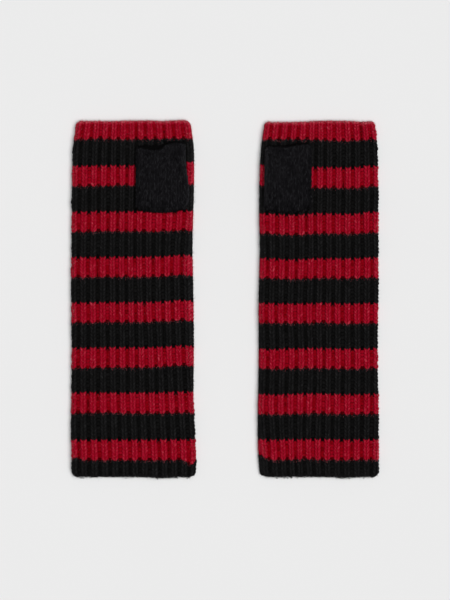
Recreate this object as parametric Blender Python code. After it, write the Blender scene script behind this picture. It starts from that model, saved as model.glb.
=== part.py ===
"""A pair of striped rib-knit fingerless gloves, laid flat side by side.

Each glove is one wide knitted tube, flattened, with a short thumb tube joined into a slit in its front
layer. The fingers point along +Y, the wrist hems lie at -Y, and the underside rests flat on the plane
z = 0. Sizes below are in millimetres, and a place along a glove is measured from its hem.
"""

import math
from dataclasses import dataclass

import bmesh
import bpy
import numpy as np

MM = 0.001

# The pair
GLOVE_LENGTH = 261.1  # wrist hem to finger edge
GLOVE_SPACING = 135.6  # between the two gloves' centre lines

# The knitted wall
WALL = 2.2  # at the bottom of a furrow
LAYER_GAP = 0.8  # between the front and back layers of a flattened tube
RIB_RISE = 1.1  # of a rib's crests above its furrows
RIBS_ACROSS = 12.6  # pitches of the rib in the glove's whole flat width
FRONT_RIBS = 13  # whole ribs, the outer two turning round the side folds
FOLD_RADIUS = WALL + LAYER_GAP / 2
GLOVE_HEIGHT = 2 * FOLD_RADIUS
CREST_HEIGHT = GLOVE_HEIGHT + RIB_RISE
SIDE_CREST = 0.6  # how far the outermost rib stands out past the bare fold
FADE_END = -0.7  # the ribs die out where the surface's upward slope, as a cosine, falls to this
FADE_START = 0.5  # and are whole down to this
LOWER_FOLD = 140.0  # angle, from straight up, of the section's one point low on each side fold
UNDERSIDE_POINTS = 5

# The stripes, hem first
HEM_BAND = 13.0
RED_BAND = 15.2
BLACK_BAND = 18.15
STRIPE_PAIRS = 7  # a red and a black band each, above the hem band; a last red band fills the rest
BAND_SWELL = 0.4  # how far a black band swells out at each side, and a red one draws in

# The rims
HEM_CORNER = 4.4  # corner radius of the flat outline at the hem
FINGER_CORNER = 2.9  # and at the fingers
CORNER_REACH = 12.0  # how far in from the side the corner's rounding bends the ribs
RIM_THINNING = 0.8  # how much the wall's edge is rounded off on each side
RIM_ANGLES = (0.0, 40.0, 70.0, 90.0)
BACK_OVERHANG = 1.0  # the back layer shows this far past the front one at the fingers

# The thumb tubes
SEAT = 0.3  # clear distance between pieces that touch
THUMB_WALL = 1.6
THUMB_GAP = 0.8
THUMB_RADIUS = THUMB_WALL + THUMB_GAP / 2
THUMB_BEND = 2.2  # radius of the tube's centre surface where it turns from the slit to lie flat
THUMB_ROOT = 195.8  # lower edge of the flat tube, from the hem, at its corners
THUMB_LENGTH = 46.0  # lower edge to mouth
THUMB_SAG = 2.2  # how far the lower edge bows towards the hem in its middle
THUMB_SAG_REACH = 26.0  # length over which the bow dies out towards the mouth
THUMB_REST = CREST_HEIGHT + SEAT + THUMB_RADIUS  # height of the lying tube's middle surface
THUMB_TURNS = (0.0, 20.0, 45.0, 70.0, 90.0)  # the tube's direction through its bend, from straight up
THUMB_FLAT_FROM = 10.0  # from the lower edge; past this the tube lies level
THUMB_FLAT_RINGS = 4
MOUTH_STEPS = ((1.0, 0.0), (0.3, 0.2), (0.0, 0.5))  # distance back from the mouth, and thinning
MOUTH_OVERHANG = 1.0  # the tube's back layer shows this far past its front one
FOLD_POINTS = 5  # round each side of a plain flattened section

RED, BLACK = 0, 1  # material slots of a glove's tube
SHARP_ANGLE = 50.0  # edges that turn more than this, in degrees, are shaded sharp

CUT_PAST = 3.0  # how far a cutter runs on past what it cuts
CUT_CLEAR = 0.2  # how far a cutter's own rings keep from the faces it cuts


@dataclass(frozen=True)
class Width:
    """Where the flat glove's two edges lie at one height."""

    from_hem: float
    left: float  # edge's distance to the left of the centre line
    right: float


@dataclass(frozen=True)
class Rib:
    """One point of the rib's profile."""

    across: float  # part of the pitch, from one furrow's middle to the next
    rise: float  # part of the full rise


@dataclass(frozen=True)
class Glove:
    """What differs between the two gloves."""

    side: str
    centre: float
    thumb_middle: float  # from the glove's centre line, +X
    thumb_half_width: float
    widths: tuple


RIB_PROFILE = (
    Rib(0.12, 0.0),
    Rib(0.30, 1.0),
    Rib(0.50, 0.85),
    Rib(0.70, 1.0),
    Rib(0.88, 0.0),
)

LEFT_WIDTHS = (
    Width(0.0, 45.0, 46.6),
    Width(9.3, 45.0, 46.6),
    Width(34.8, 45.3, 45.8),
    Width(56.7, 44.9, 44.8),
    Width(93.2, 44.7, 44.6),
    Width(129.7, 45.1, 44.2),
    Width(166.2, 45.0, 43.8),
    Width(202.7, 44.8, 44.6),
    Width(231.9, 44.3, 45.1),
    Width(246.5, 43.3, 44.1),
    Width(257.8, 41.5, 42.1),
    Width(261.1, 41.3, 41.9),
)

RIGHT_WIDTHS = (
    Width(0.0, 44.3, 44.5),
    Width(9.3, 44.3, 44.5),
    Width(34.8, 45.0, 44.3),
    Width(56.7, 44.6, 43.9),
    Width(93.2, 44.1, 43.2),
    Width(129.7, 44.2, 43.8),
    Width(166.2, 43.3, 44.1),
    Width(202.7, 43.8, 44.1),
    Width(231.9, 43.0, 43.4),
    Width(246.5, 41.8, 42.9),
    Width(257.8, 39.8, 41.5),
    Width(261.1, 39.6, 41.3),
)

GLOVES = (
    Glove("left", -GLOVE_SPACING / 2, 20.8, 18.1, LEFT_WIDTHS),
    Glove("right", GLOVE_SPACING / 2, -22.1, 17.0, RIGHT_WIDTHS),
)


def clear_scene():
    for obj in list(bpy.data.objects):
        bpy.data.objects.remove(obj, do_unlink=True)


def collection(name):
    made = bpy.data.collections.new(name)
    bpy.context.scene.collection.children.link(made)
    return made


def wool(name, colour, roughness):
    """A matt yarn."""
    material = bpy.data.materials.new(name)
    material.use_nodes = True
    shader = material.node_tree.nodes["Principled BSDF"]
    shader.inputs["Base Color"].default_value = (*colour, 1.0)
    shader.inputs["Roughness"].default_value = roughness
    shader.inputs["Metallic"].default_value = 0.0
    return material


def loft(name, rings, band_slots=None):
    """A closed solid through rings of equally many points, each ring anticlockwise seen from the next.

    band_slots gives the material slot of the faces between each ring and the next."""
    work = bmesh.new()
    levels = [[work.verts.new(MM * np.asarray(point)) for point in ring] for ring in rings]
    count = len(rings[0])
    for band, (low, high) in enumerate(zip(levels, levels[1:])):
        for i in range(count):
            j = (i + 1) % count
            face = work.faces.new((low[i], low[j], high[j], high[i]))
            face.material_index = band_slots[band] if band_slots else 0
    first = work.faces.new(levels[0][::-1])
    last = work.faces.new(levels[-1])
    if band_slots:
        first.material_index = band_slots[0]
        last.material_index = band_slots[-1]
    work.normal_update()
    bmesh.ops.triangulate(work, faces=[first, last])
    mesh = bpy.data.meshes.new(name)
    work.to_mesh(mesh)
    work.free()
    return bpy.data.objects.new(name, mesh)


def cut(target, cutter):
    """Cuts a solid with a hidden one."""
    cutter.hide_render = True
    cutter.display_type = "WIRE"
    boolean = target.modifiers.new("cut " + cutter.name, "BOOLEAN")
    boolean.operation = "DIFFERENCE"
    boolean.solver = "EXACT"
    boolean.object = cutter


def edges_at(glove, from_hem):
    """The flat glove's left and right edge, from its centre line, at one height."""
    heights = [row.from_hem for row in glove.widths]
    left = np.interp(from_hem, heights, [row.left for row in glove.widths])
    right = np.interp(from_hem, heights, [row.right for row in glove.widths])
    return -left, right


def round_fold(along, straight, radius, middle):
    """A point and its outward normal, x and z, on a flattened tube's section.

    along runs over the top from the section's middle, and on round a side fold of the given radius past
    the straight stretch."""
    side = math.copysign(1.0, along)
    turned = max(abs(along) - straight, 0.0) / radius
    x = middle + side * (min(abs(along), straight) + radius * math.sin(turned))
    return (x, radius + radius * math.cos(turned)), (side * math.sin(turned), math.cos(turned))


def outer_points(left, right):
    """The ribbed outer section between two edges, as x, z, outward normal and rise, anticlockwise from
    above: over the top from left to right, then back along the flat underside."""
    middle = (left + right) / 2
    pitch = (right - left) / RIBS_ACROSS
    straight = (right - left) / 2 - FOLD_RADIUS - SIDE_CREST
    start = -FRONT_RIBS / 2
    stops = [(start, 0.0)]
    for rib in range(FRONT_RIBS):
        stops += [(start + rib + row.across, row.rise) for row in RIB_PROFILE]
    stops.append((start + FRONT_RIBS, 0.0))
    points = []
    for across, rise in stops:
        place, normal = round_fold(across * pitch, straight, FOLD_RADIUS, middle)
        fade = min(max((normal[1] - FADE_END) / (FADE_START - FADE_END), 0.0), 1.0)
        points.append((*place, *normal, RIB_RISE * rise * fade))
    under_fold = straight + FOLD_RADIUS * math.radians(LOWER_FOLD)
    (x, z), normal = round_fold(under_fold, straight, FOLD_RADIUS, middle)
    points.append((x, z, *normal, 0.0))
    for x in np.linspace(middle + straight, middle - straight, UNDERSIDE_POINTS):
        points.append((x, 0.0, 0.0, -1.0, 0.0))
    (x, z), normal = round_fold(-under_fold, straight, FOLD_RADIUS, middle)
    points.append((x, z, *normal, 0.0))
    return points


def glove_ring(glove, from_hem, swell=0.0, narrowing=0.0, thinning=0.0, overhang=0.0):
    """One ring of the glove's outer surface.

    swell moves both sides out, narrowing pulls in the corners of a rim, thinning rounds off the wall's
    edge, and overhang carries the back layer on past the front one."""
    left, right = edges_at(glove, from_hem)
    ring = []
    for x, z, out_x, out_z, rise in outer_points(left - swell, right + swell):
        lift = rise - thinning
        x, z = x + lift * out_x, z + lift * out_z
        edge = right if x > 0 else -left
        squeeze = max(1 - (edge - abs(x)) / CORNER_REACH, 0.0) ** 2
        x -= math.copysign(narrowing * squeeze, x)
        y = from_hem + overhang * (1 - z / CREST_HEIGHT)
        ring.append((glove.centre + x, y - GLOVE_LENGTH / 2, z))
    return ring


def rim_steps(corner):
    """How far back from the edge, how narrow and how thin the wall is at each ring of a rounded rim."""
    turns = [math.radians(angle) for angle in RIM_ANGLES]
    return [
        (corner * (1 - math.sin(turn)), corner * (1 - math.cos(turn)), RIM_THINNING * (1 - math.cos(turn)))
        for turn in turns
    ]


def glove_outside(glove, name):
    """The glove's outer surface as one solid, with its stripes in two material slots."""
    rings = []
    slots = []
    for back, narrowing, thinning in rim_steps(HEM_CORNER)[::-1]:
        rings.append(glove_ring(glove, back, narrowing=narrowing, thinning=thinning))
        slots.append(BLACK)
    edge = HEM_BAND
    for _ in range(STRIPE_PAIRS):
        for band, slot, swell in ((RED_BAND, RED, -BAND_SWELL), (BLACK_BAND, BLACK, BAND_SWELL)):
            rings.append(glove_ring(glove, edge))
            rings.append(glove_ring(glove, edge + band / 2, swell=swell))
            slots += [slot, slot]
            edge += band
    rings.append(glove_ring(glove, edge))
    slots.append(RED)
    for back, narrowing, thinning in rim_steps(FINGER_CORNER):
        from_hem = GLOVE_LENGTH - back
        rings.append(glove_ring(glove, from_hem, 0.0, narrowing, thinning, BACK_OVERHANG))
        slots.append(RED)
    return loft(name, rings, slots[:-1])


def flat_ring(half_width, radius):
    """A flattened tube's plain section about its middle, as x and thickness, left to right over the top
    and back underneath."""
    straight = half_width - radius
    turns = np.linspace(math.pi / 2, -math.pi / 2, FOLD_POINTS)
    right = [(straight + radius * math.cos(turn), radius * math.sin(turn)) for turn in turns]
    left = [(-x, -z) for x, z in right]
    return left[-1:] + right + left[:-1]


def glove_inside(glove, name):
    """The hollow between a glove's layers, drawn in with the rims and run on past both its ends."""
    hem = [(back, narrowing) for back, narrowing, _ in rim_steps(HEM_CORNER)[::-1]]
    hem[0] = (-CUT_CLEAR, hem[0][1])
    fingers = [(GLOVE_LENGTH - back, narrowing) for back, narrowing, _ in rim_steps(FINGER_CORNER)]
    fingers[-1] = (GLOVE_LENGTH + BACK_OVERHANG + CUT_CLEAR, fingers[-1][1])
    between = [(row.from_hem, 0.0) for row in glove.widths if hem[-1][0] < row.from_hem < fingers[0][0]]
    rings = []
    for from_hem, narrowing in [*hem, *between, *fingers]:
        left, right = edges_at(glove, from_hem)
        half_width = (right - left) / 2 - SIDE_CREST - WALL - narrowing
        middle = glove.centre + (left + right) / 2
        section = flat_ring(half_width, LAYER_GAP / 2)
        rings.append([(middle + x, from_hem - GLOVE_LENGTH / 2, FOLD_RADIUS + z) for x, z in section])
    before = [(x, y - CUT_PAST, z) for x, y, z in rings[0]]
    after = [(x, y + CUT_PAST, z) for x, y, z in rings[-1]]
    return loft(name, [before, *rings, after])


def thumb_stations():
    """Along the thumb tube: the middle surface's distance from the lower edge, height, and direction."""
    root_height = CREST_HEIGHT + SEAT
    stations = []
    for degrees in THUMB_TURNS:
        turn = math.radians(degrees)
        forward = THUMB_RADIUS + THUMB_BEND * (1 - math.cos(turn))
        stations.append((forward, root_height + THUMB_BEND * math.sin(turn), turn))
    for forward in np.linspace(THUMB_FLAT_FROM, THUMB_LENGTH, THUMB_FLAT_RINGS):
        stations.append((forward, THUMB_REST, math.pi / 2))
    return stations


def thumb_ring(glove, station, half_width, radius, overhang=0.0):
    """One ring of the thumb tube, turned square to its middle surface.

    overhang carries the back layer on past the front one."""
    forward, height, turn = station
    centre = glove.centre + glove.thumb_middle
    fade = max(1 - forward / THUMB_SAG_REACH, 0.0)
    ring = []
    for x, out in flat_ring(half_width, radius):
        bow = THUMB_SAG * fade * (1 - (x / glove.thumb_half_width) ** 2)
        y = THUMB_ROOT + forward - out * math.cos(turn) - bow + overhang * (1 - out / THUMB_RADIUS) / 2
        ring.append((centre + x, y - GLOVE_LENGTH / 2, height + out * math.sin(turn)))
    return ring


def thumb_outside(glove, name):
    """The thumb tube's outer surface as one solid, its mouth rounded off."""
    *stations, (mouth, height, turn) = thumb_stations()
    rings = [thumb_ring(glove, station, glove.thumb_half_width, THUMB_RADIUS) for station in stations]
    for back, thin in MOUTH_STEPS:
        last = (mouth - back, height, turn)
        half_width = glove.thumb_half_width - thin
        rings.append(thumb_ring(glove, last, half_width, THUMB_RADIUS - thin, MOUTH_OVERHANG))
    return loft(name, rings)


def thumb_inside(glove, name):
    """The hollow in the thumb tube, run on past its mouth and down through the glove's front layer."""
    half_width = glove.thumb_half_width - THUMB_WALL
    rings = [thumb_ring(glove, station, half_width, THUMB_GAP / 2) for station in thumb_stations()]
    below = [(x, y, FOLD_RADIUS) for x, y, _ in rings[0]]
    after = [(x, y + CUT_PAST, z) for x, y, z in rings[-1]]
    return loft(name, [below, *rings[:-1], after])


def centre_pair(tubes, pieces):
    """Moves every piece so that the origin lies under the middle of the pair's outline."""
    corners = np.array([vertex.co for tube in tubes for vertex in tube.data.vertices])
    middle = (corners.min(axis=0) + corners.max(axis=0)) / 2
    for piece in pieces:
        piece.location = (-middle[0], -middle[1], 0.0)


def main():
    clear_scene()
    gloves = collection("pair_of_gloves")
    cutters = collection("hollows")
    red = wool("red wool", (0.216, 0.0027, 0.0103), 0.9)
    black = wool("black wool", (0.0056, 0.005, 0.0053), 0.92)
    thumb_black = wool("black thumb wool", (0.007, 0.0068, 0.0077), 0.92)
    tubes = []
    for glove in GLOVES:
        tube = glove_outside(glove, f"{glove.side}_glove_tube")
        tube.data.materials.append(red)
        tube.data.materials.append(black)
        thumb = thumb_outside(glove, f"{glove.side}_thumb_tube")
        thumb.data.materials.append(thumb_black)
        for solid in (tube, thumb):
            gloves.objects.link(solid)
            solid.data.shade_smooth()
            solid.data.set_sharp_from_angle(angle=math.radians(SHARP_ANGLE))
        hollow = glove_inside(glove, f"{glove.side}_glove_hollow")
        thumb_hollow = thumb_inside(glove, f"{glove.side}_thumb_hollow")
        for cutter in (hollow, thumb_hollow):
            cutters.objects.link(cutter)
        cut(tube, hollow)
        cut(tube, thumb_hollow)
        cut(thumb, thumb_hollow)
        tubes.append(tube)
    centre_pair(tubes, [*gloves.objects, *cutters.objects])


if __name__ == "__main__":
    main()
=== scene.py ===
"""A pair of striped rib-knit fingerless gloves, laid flat side by side and seen from straight above.

The knitted walls are thin shells on the frame's solids. Over them lie the stitches themselves: the V of every
knit loop along the ribs, the bar of every purl loop in the furrows, the knots of the hem, the fine V of the
thumbs' plain knit, and a halo of loose wool fibres. Sizes are in millimetres until a mesh is made, and a
place along a glove is measured from its hem.
"""

import logging
import math
from dataclasses import dataclass, field
from enum import Enum, IntEnum

import bpy
import numpy as np
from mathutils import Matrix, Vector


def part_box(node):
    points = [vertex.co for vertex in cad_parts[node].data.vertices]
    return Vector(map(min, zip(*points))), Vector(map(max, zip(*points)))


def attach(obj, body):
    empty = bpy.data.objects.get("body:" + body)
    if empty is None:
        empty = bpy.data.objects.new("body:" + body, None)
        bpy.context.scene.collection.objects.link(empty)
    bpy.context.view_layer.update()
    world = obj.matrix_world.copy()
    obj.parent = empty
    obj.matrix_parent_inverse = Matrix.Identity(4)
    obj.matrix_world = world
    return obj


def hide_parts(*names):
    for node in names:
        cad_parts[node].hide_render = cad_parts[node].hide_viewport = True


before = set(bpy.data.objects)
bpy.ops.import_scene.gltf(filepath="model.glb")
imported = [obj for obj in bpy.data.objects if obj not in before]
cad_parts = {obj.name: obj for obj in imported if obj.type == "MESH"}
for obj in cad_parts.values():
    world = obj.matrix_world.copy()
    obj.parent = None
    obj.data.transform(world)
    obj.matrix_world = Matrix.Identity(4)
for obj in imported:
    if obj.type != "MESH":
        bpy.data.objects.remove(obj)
log = logging.getLogger("gloves")

MM = 0.001
RIB_PITCH = 7.08
LOWEST = 0.02  # the least height of a point above the floor
MAP_SHIFT = 40.0  # how far a loop's yarn map may be moved, so that no two loops look alike
BODY = "root"
YARN_MAP = "Yarn"  # UV map along and round a yarn, in millimetres
PAINTED_LIGHT_AND_MOTTLE = "tone"  # attribute: the painted light and shade of a yarn at a point, from 0 in the shaded depth to 1 on its lit crest, with painted sheen and a random spread
RIB_SLOT = "striped_rib_knit"
THUMB_SLOT = "black_thumb_knit"

Array = np.ndarray
Colour = tuple[float, float, float]
Random = np.random.Generator


class Wool(IntEnum):
    """A yarn's colour, which is also its material's slot in a striped piece."""

    RED = 0
    BLACK = 1


class Side(Enum):
    """Which of the two gloves, as the photograph shows them."""

    LEFT = "left"
    RIGHT = "right"


class Axis(Enum):
    """The way a loop's yarn runs."""

    ALONG = "along the glove"
    ACROSS = "across it"


# Materials


class Value:
    """A shader socket that can be used in an expression on numbers; each operator adds one Math node."""

    def __init__(self, graph: "Graph", socket: bpy.types.NodeSocket) -> None:
        """Wraps an output socket of the graph."""
        self.graph = graph
        self.socket = socket

    def _math(self, operation: str, first: "float | Value", second: "float | Value") -> "Value":
        """Adds one Math node.

        Args:
            operation: The node's operation.
            first: Its first value.
            second: Its second value.

        Returns:
            The node's result.
        """
        made = self.graph.node("ShaderNodeMath", {"operation": operation}, {0: first, 1: second})
        return Value(self.graph, made.outputs[0])

    def __add__(self, other: "float | Value") -> "Value":
        """self + other."""
        return self._math("ADD", self, other)

    def __radd__(self, other: float) -> "Value":
        """other + self."""
        return self._math("ADD", other, self)

    def __sub__(self, other: "float | Value") -> "Value":
        """self - other."""
        return self._math("SUBTRACT", self, other)

    def __rsub__(self, other: float) -> "Value":
        """other - self."""
        return self._math("SUBTRACT", other, self)

    def __mul__(self, other: "float | Value") -> "Value":
        """self * other."""
        return self._math("MULTIPLY", self, other)

    def __rmul__(self, other: float) -> "Value":
        """other * self."""
        return self._math("MULTIPLY", other, self)

    def rising(self, low: float, high: float) -> "Value":
        """0 where the value is under low, 1 where it is over high, and even between."""
        inputs = {"Value": self, "From Min": low, "From Max": high}
        return Value(self.graph, self.graph.node("ShaderNodeMapRange", {"clamp": True}, inputs).outputs[0])


class Graph:
    """The node tree of one material, with its output node already there."""

    def __init__(self, name: str) -> None:
        """Starts an empty material.

        Args:
            name: The material's name.
        """
        self.material = bpy.data.materials.new(name)
        self.material.use_nodes = True
        self.tree = self.material.node_tree
        self.tree.nodes.clear()
        self.end = self.node("ShaderNodeOutputMaterial")
        self.place = self.node("ShaderNodeTexCoord").outputs["Object"]

    def node(self, kind: str, settings: dict | None = None, inputs: dict | None = None) -> bpy.types.Node:
        """Adds one node.

        Args:
            kind: The node's type.
            settings: Its properties by name; "stops" are a ramp's positions and colours.
            inputs: Numbers, colours or sockets by the name or number of the node's socket.

        Returns:
            The new node.
        """
        made = self.tree.nodes.new(kind)
        for name, setting in (settings or {}).items():
            if name == "stops":
                ramp = made.color_ramp.elements
                while len(ramp) < len(setting):
                    ramp.new(1.0)
                for element, (position, colour) in zip(ramp, setting):
                    element.position = position
                    element.color = (*colour, 1.0)
            else:
                setattr(made, name, setting)
        for name, value in (inputs or {}).items():
            value = value.socket if isinstance(value, Value) else value
            if isinstance(value, bpy.types.NodeSocket):
                self.tree.links.new(value, made.inputs[name])
            else:
                made.inputs[name].default_value = value
        return made

    def mix(self, amount: "float | Value", low: Colour, high: Colour) -> bpy.types.NodeSocket:
        """Mixes two colours.

        Args:
            amount: How much of the second colour, from 0 to 1.
            low: The first colour.
            high: The second colour.

        Returns:
            The mixed colour's socket.
        """
        settings = {"data_type": "RGBA", "clamp_factor": True}
        return self.node("ShaderNodeMix", settings, {0: amount, 6: (*low, 1.0), 7: (*high, 1.0)}).outputs[2]

    def noise(self, place: bpy.types.NodeSocket, scale: float, detail: float = 2.0) -> Value:
        """A soft noise from 0 to 1.

        Args:
            place: The coordinates that it reads.
            scale: How many of its features fit in one unit of them.
            detail: How many finer layers it has.

        Returns:
            The noise.
        """
        inputs = {"Vector": place, "Scale": scale, "Detail": detail}
        return Value(self, self.node("ShaderNodeTexNoise", None, inputs).outputs[0])

    def finish(self, inputs: dict) -> bpy.types.Material:
        """Joins a shader with these inputs to the output and returns the material."""
        shader = self.node("ShaderNodeBsdfPrincipled", None, inputs)
        self.tree.links.new(shader.outputs[0], self.end.inputs["Surface"])
        return self.material


@dataclass(frozen=True)
class WoolFinish:
    """A soft, matt, hairy yarn: twisted plies, streaks of fibre along them, felted clouds, and pale flecks
    that are painted glints.
    """

    name: str
    sheen_colour: Colour  # painted sheen: the pale top of the ramp, for fibre seen against the light and for the painted glints
    crest: Colour  # painted light: where a loop stands up into the light
    deep: Colour  # painted shade on its flanks
    core: Colour  # painted shade between the loops, where little light gets
    deep_at: float = 0.25  # the lightness at which a yarn shows the deep colour
    crest_at: float = 0.72
    streak_share: float = 0.16  # how much of the colour's range the fibre streaks take
    cloud_share: float = 0.18
    fleck_share: float = 0.40
    roughness: float = 0.92
    specular: float = 0.02
    cloud_scale: float = 620.0  # felted clouds in a metre
    fleck_scale: float = 1450.0  # painted glints of fibre in a metre
    fleck_range: tuple[float, float] = (0.54, 0.68)  # where in the noise a fleck starts and is full
    speck_scale: float = 2600.0  # single fibres in a metre
    streak_scale: float = 1.0
    streak_shape: Colour = (0.7, 5.0, 1.0)  # long along the yarn and narrow round it
    twist: float = 0.55  # the plies' slant on the yarn, in radians
    bump_depth: float = 0.00035
    bump_strength: float = 0.8

    def material(self) -> bpy.types.Material:
        """Builds the yarn's material.

        The colour goes from core over deep and crest to the sheen colour with the loop's painted light and
        shade, the streaks, the clouds and the flecks, which are painted glints. The bump is the streaks, the
        single fibres and the clouds.

        Returns:
            The material.
        """
        graph = Graph(self.name)
        yarn = graph.node("ShaderNodeUVMap", {"uv_map": YARN_MAP}).outputs["UV"]
        tone_node = graph.node("ShaderNodeAttribute", {"attribute_name": PAINTED_LIGHT_AND_MOTTLE})
        tone = Value(graph, tone_node.outputs["Fac"])
        slanted = {"Vector": yarn, "Rotation": (0.0, 0.0, self.twist), "Scale": self.streak_shape}
        plies = graph.node("ShaderNodeMapping", None, slanted).outputs[0]
        streaks = graph.noise(plies, self.streak_scale, 3.0)
        clouds = graph.noise(graph.place, self.cloud_scale, 3.0)
        specks = graph.noise(graph.place, self.speck_scale, 2.0)
        flecks = graph.noise(graph.place, self.fleck_scale, 1.0).rising(*self.fleck_range)
        # the loop's painted light and shade with random streaks and clouds, and pale flecks as painted glints
        # where it is lit
        lightness = tone + (streaks - 0.5) * self.streak_share + (clouds - 0.5) * (2 * self.cloud_share)
        lightness = lightness + flecks * tone * self.fleck_share
        stops = [(0.0, self.core), (self.deep_at, self.deep), (self.crest_at, self.crest), (1.0, self.sheen_colour)]
        colour = graph.node("ShaderNodeValToRGB", {"stops": stops}, {0: lightness}).outputs[0]
        height = streaks * 0.5 + specks * 0.5 + clouds * 0.3
        relief = {"Strength": self.bump_strength, "Distance": self.bump_depth, "Height": height}
        return graph.finish({
            "Base Color": colour,
            "Roughness": self.roughness,
            "Specular IOR Level": self.specular,
            "Normal": graph.node("ShaderNodeBump", None, relief).outputs[0],
        })


@dataclass(frozen=True)
class MottledFinish:
    """A plain matt finish whose colour wanders a little from place to place, or from hair to hair."""

    name: str
    pale: Colour
    dark: Colour
    roughness: float = 0.85
    specular: float = 0.08
    patches: float = 900.0  # in a metre

    def material(self) -> bpy.types.Material:
        """Builds the material and returns it."""
        graph = Graph(self.name)
        colour = graph.mix(graph.noise(graph.place, self.patches), self.dark, self.pale)
        inputs = {"Base Color": colour, "Roughness": self.roughness, "Specular IOR Level": self.specular}
        return graph.finish(inputs)


# Each wool's four colours are one yarn in painted light: sheen, lit crest, shaded flank and shaded core.
RED_WOOL = WoolFinish(
    "red wool", (0.52, 0.065, 0.09), (0.365, 0.005, 0.023), (0.215, 0.0, 0.004), (0.04, 0.0, 0.001)
)
BLACK_WOOL = WoolFinish(
    "black wool", (0.021, 0.0205, 0.0210), (0.0096, 0.0094, 0.0096), (0.0039, 0.0038, 0.0037),
    (0.0016, 0.0016, 0.0016), cloud_share=0.30, fleck_share=0.52
)
THUMB_WOOL = WoolFinish(
    "black thumb wool", (0.025, 0.0240, 0.0270), (0.0120, 0.0115, 0.0131), (0.0048, 0.0047, 0.0054),
    (0.002, 0.002, 0.002), cloud_share=0.32, fleck_share=0.46, cloud_scale=1100.0, bump_depth=0.0003
)
# The red hairs are made paler than the yarn, their own colour with a painted sheen of fibre against the
# light.
RED_FIBRE = MottledFinish("red fibres", (0.80, 0.26, 0.29), (0.50, 0.03, 0.06))
BLACK_FIBRE = MottledFinish("black fibres", (0.035, 0.034, 0.038), (0.008, 0.0075, 0.008))
PALE_FLOOR = MottledFinish("pale floor", (0.82, 0.82, 0.82), (0.81, 0.81, 0.81), 0.9, 0.1, patches=6.0)


# Meshes


@dataclass
class Surface:
    """Points in millimetres and the faces on them, with what the materials read, as whole arrays."""

    points: Array
    quads: Array
    triangles: Array = field(default_factory=lambda: np.zeros((0, 3), int))
    tone: Array | None = None  # painted light and shade, with a random spread, for each point
    slots: Array | None = None  # material slot of each face, the quads first
    yarn: Array | None = None  # the yarn map at each corner of each face, the quads first

    def object(self, name: str, materials: list[bpy.types.Material]) -> bpy.types.Object:
        """Makes the mesh and its object, at the origin.

        Args:
            name: The piece's name.
            materials: Its materials, in the order of its slots.

        Returns:
            The new object, linked to the scene.
        """
        mesh = bpy.data.meshes.new(name)
        corners = np.concatenate([self.quads.ravel(), self.triangles.ravel()]).astype(np.int32)
        sizes = np.repeat([4, 3], [len(self.quads), len(self.triangles)]).astype(np.int32)
        starts = np.concatenate([[0], np.cumsum(sizes)[:-1]]).astype(np.int32)
        mesh.vertices.add(len(self.points))
        mesh.vertices.foreach_set("co", (self.points * MM).astype(np.float32).ravel())
        mesh.loops.add(len(corners))
        mesh.loops.foreach_set("vertex_index", corners)
        mesh.polygons.add(len(sizes))
        mesh.polygons.foreach_set("loop_start", starts)
        mesh.polygons.foreach_set("loop_total", sizes)
        mesh.polygons.foreach_set("use_smooth", np.ones(len(sizes), bool))
        if self.slots is not None:
            mesh.polygons.foreach_set("material_index", self.slots.astype(np.int32))
        if self.tone is not None:
            values = mesh.attributes.new(PAINTED_LIGHT_AND_MOTTLE, "FLOAT", "POINT").data
            values.foreach_set("value", self.tone.astype(np.float32))
        if self.yarn is not None:
            mesh.uv_layers.new(name=YARN_MAP).data.foreach_set("uv", self.yarn.astype(np.float32).ravel())
        mesh.update()
        mesh.validate()
        for material in materials:
            mesh.materials.append(material)
        made = bpy.data.objects.new(name, mesh)
        bpy.context.scene.collection.objects.link(made)
        return made


def grid_faces(rows: int, columns: int, wrap_rows: bool = False, wrap_columns: bool = False) -> Array:
    """The quads of a grid of points, numbered row by row.

    Args:
        rows: How many rows of points.
        columns: How many points in a row.
        wrap_rows: Whether the last row joins the first.
        wrap_columns: Whether each row is a closed ring.

    Returns:
        The quads, each anticlockwise where columns run to +X and rows to +Y.
    """
    low = np.arange(rows if wrap_rows else rows - 1)[:, None]
    left = np.arange(columns if wrap_columns else columns - 1)[None, :]
    high, right = (low + 1) % rows, (left + 1) % columns
    corners = (low * columns + left, low * columns + right, high * columns + right, high * columns + left)
    return np.stack([np.broadcast_to(c, (low.size, left.size)) for c in corners], axis=-1).reshape(-1, 4)


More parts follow.
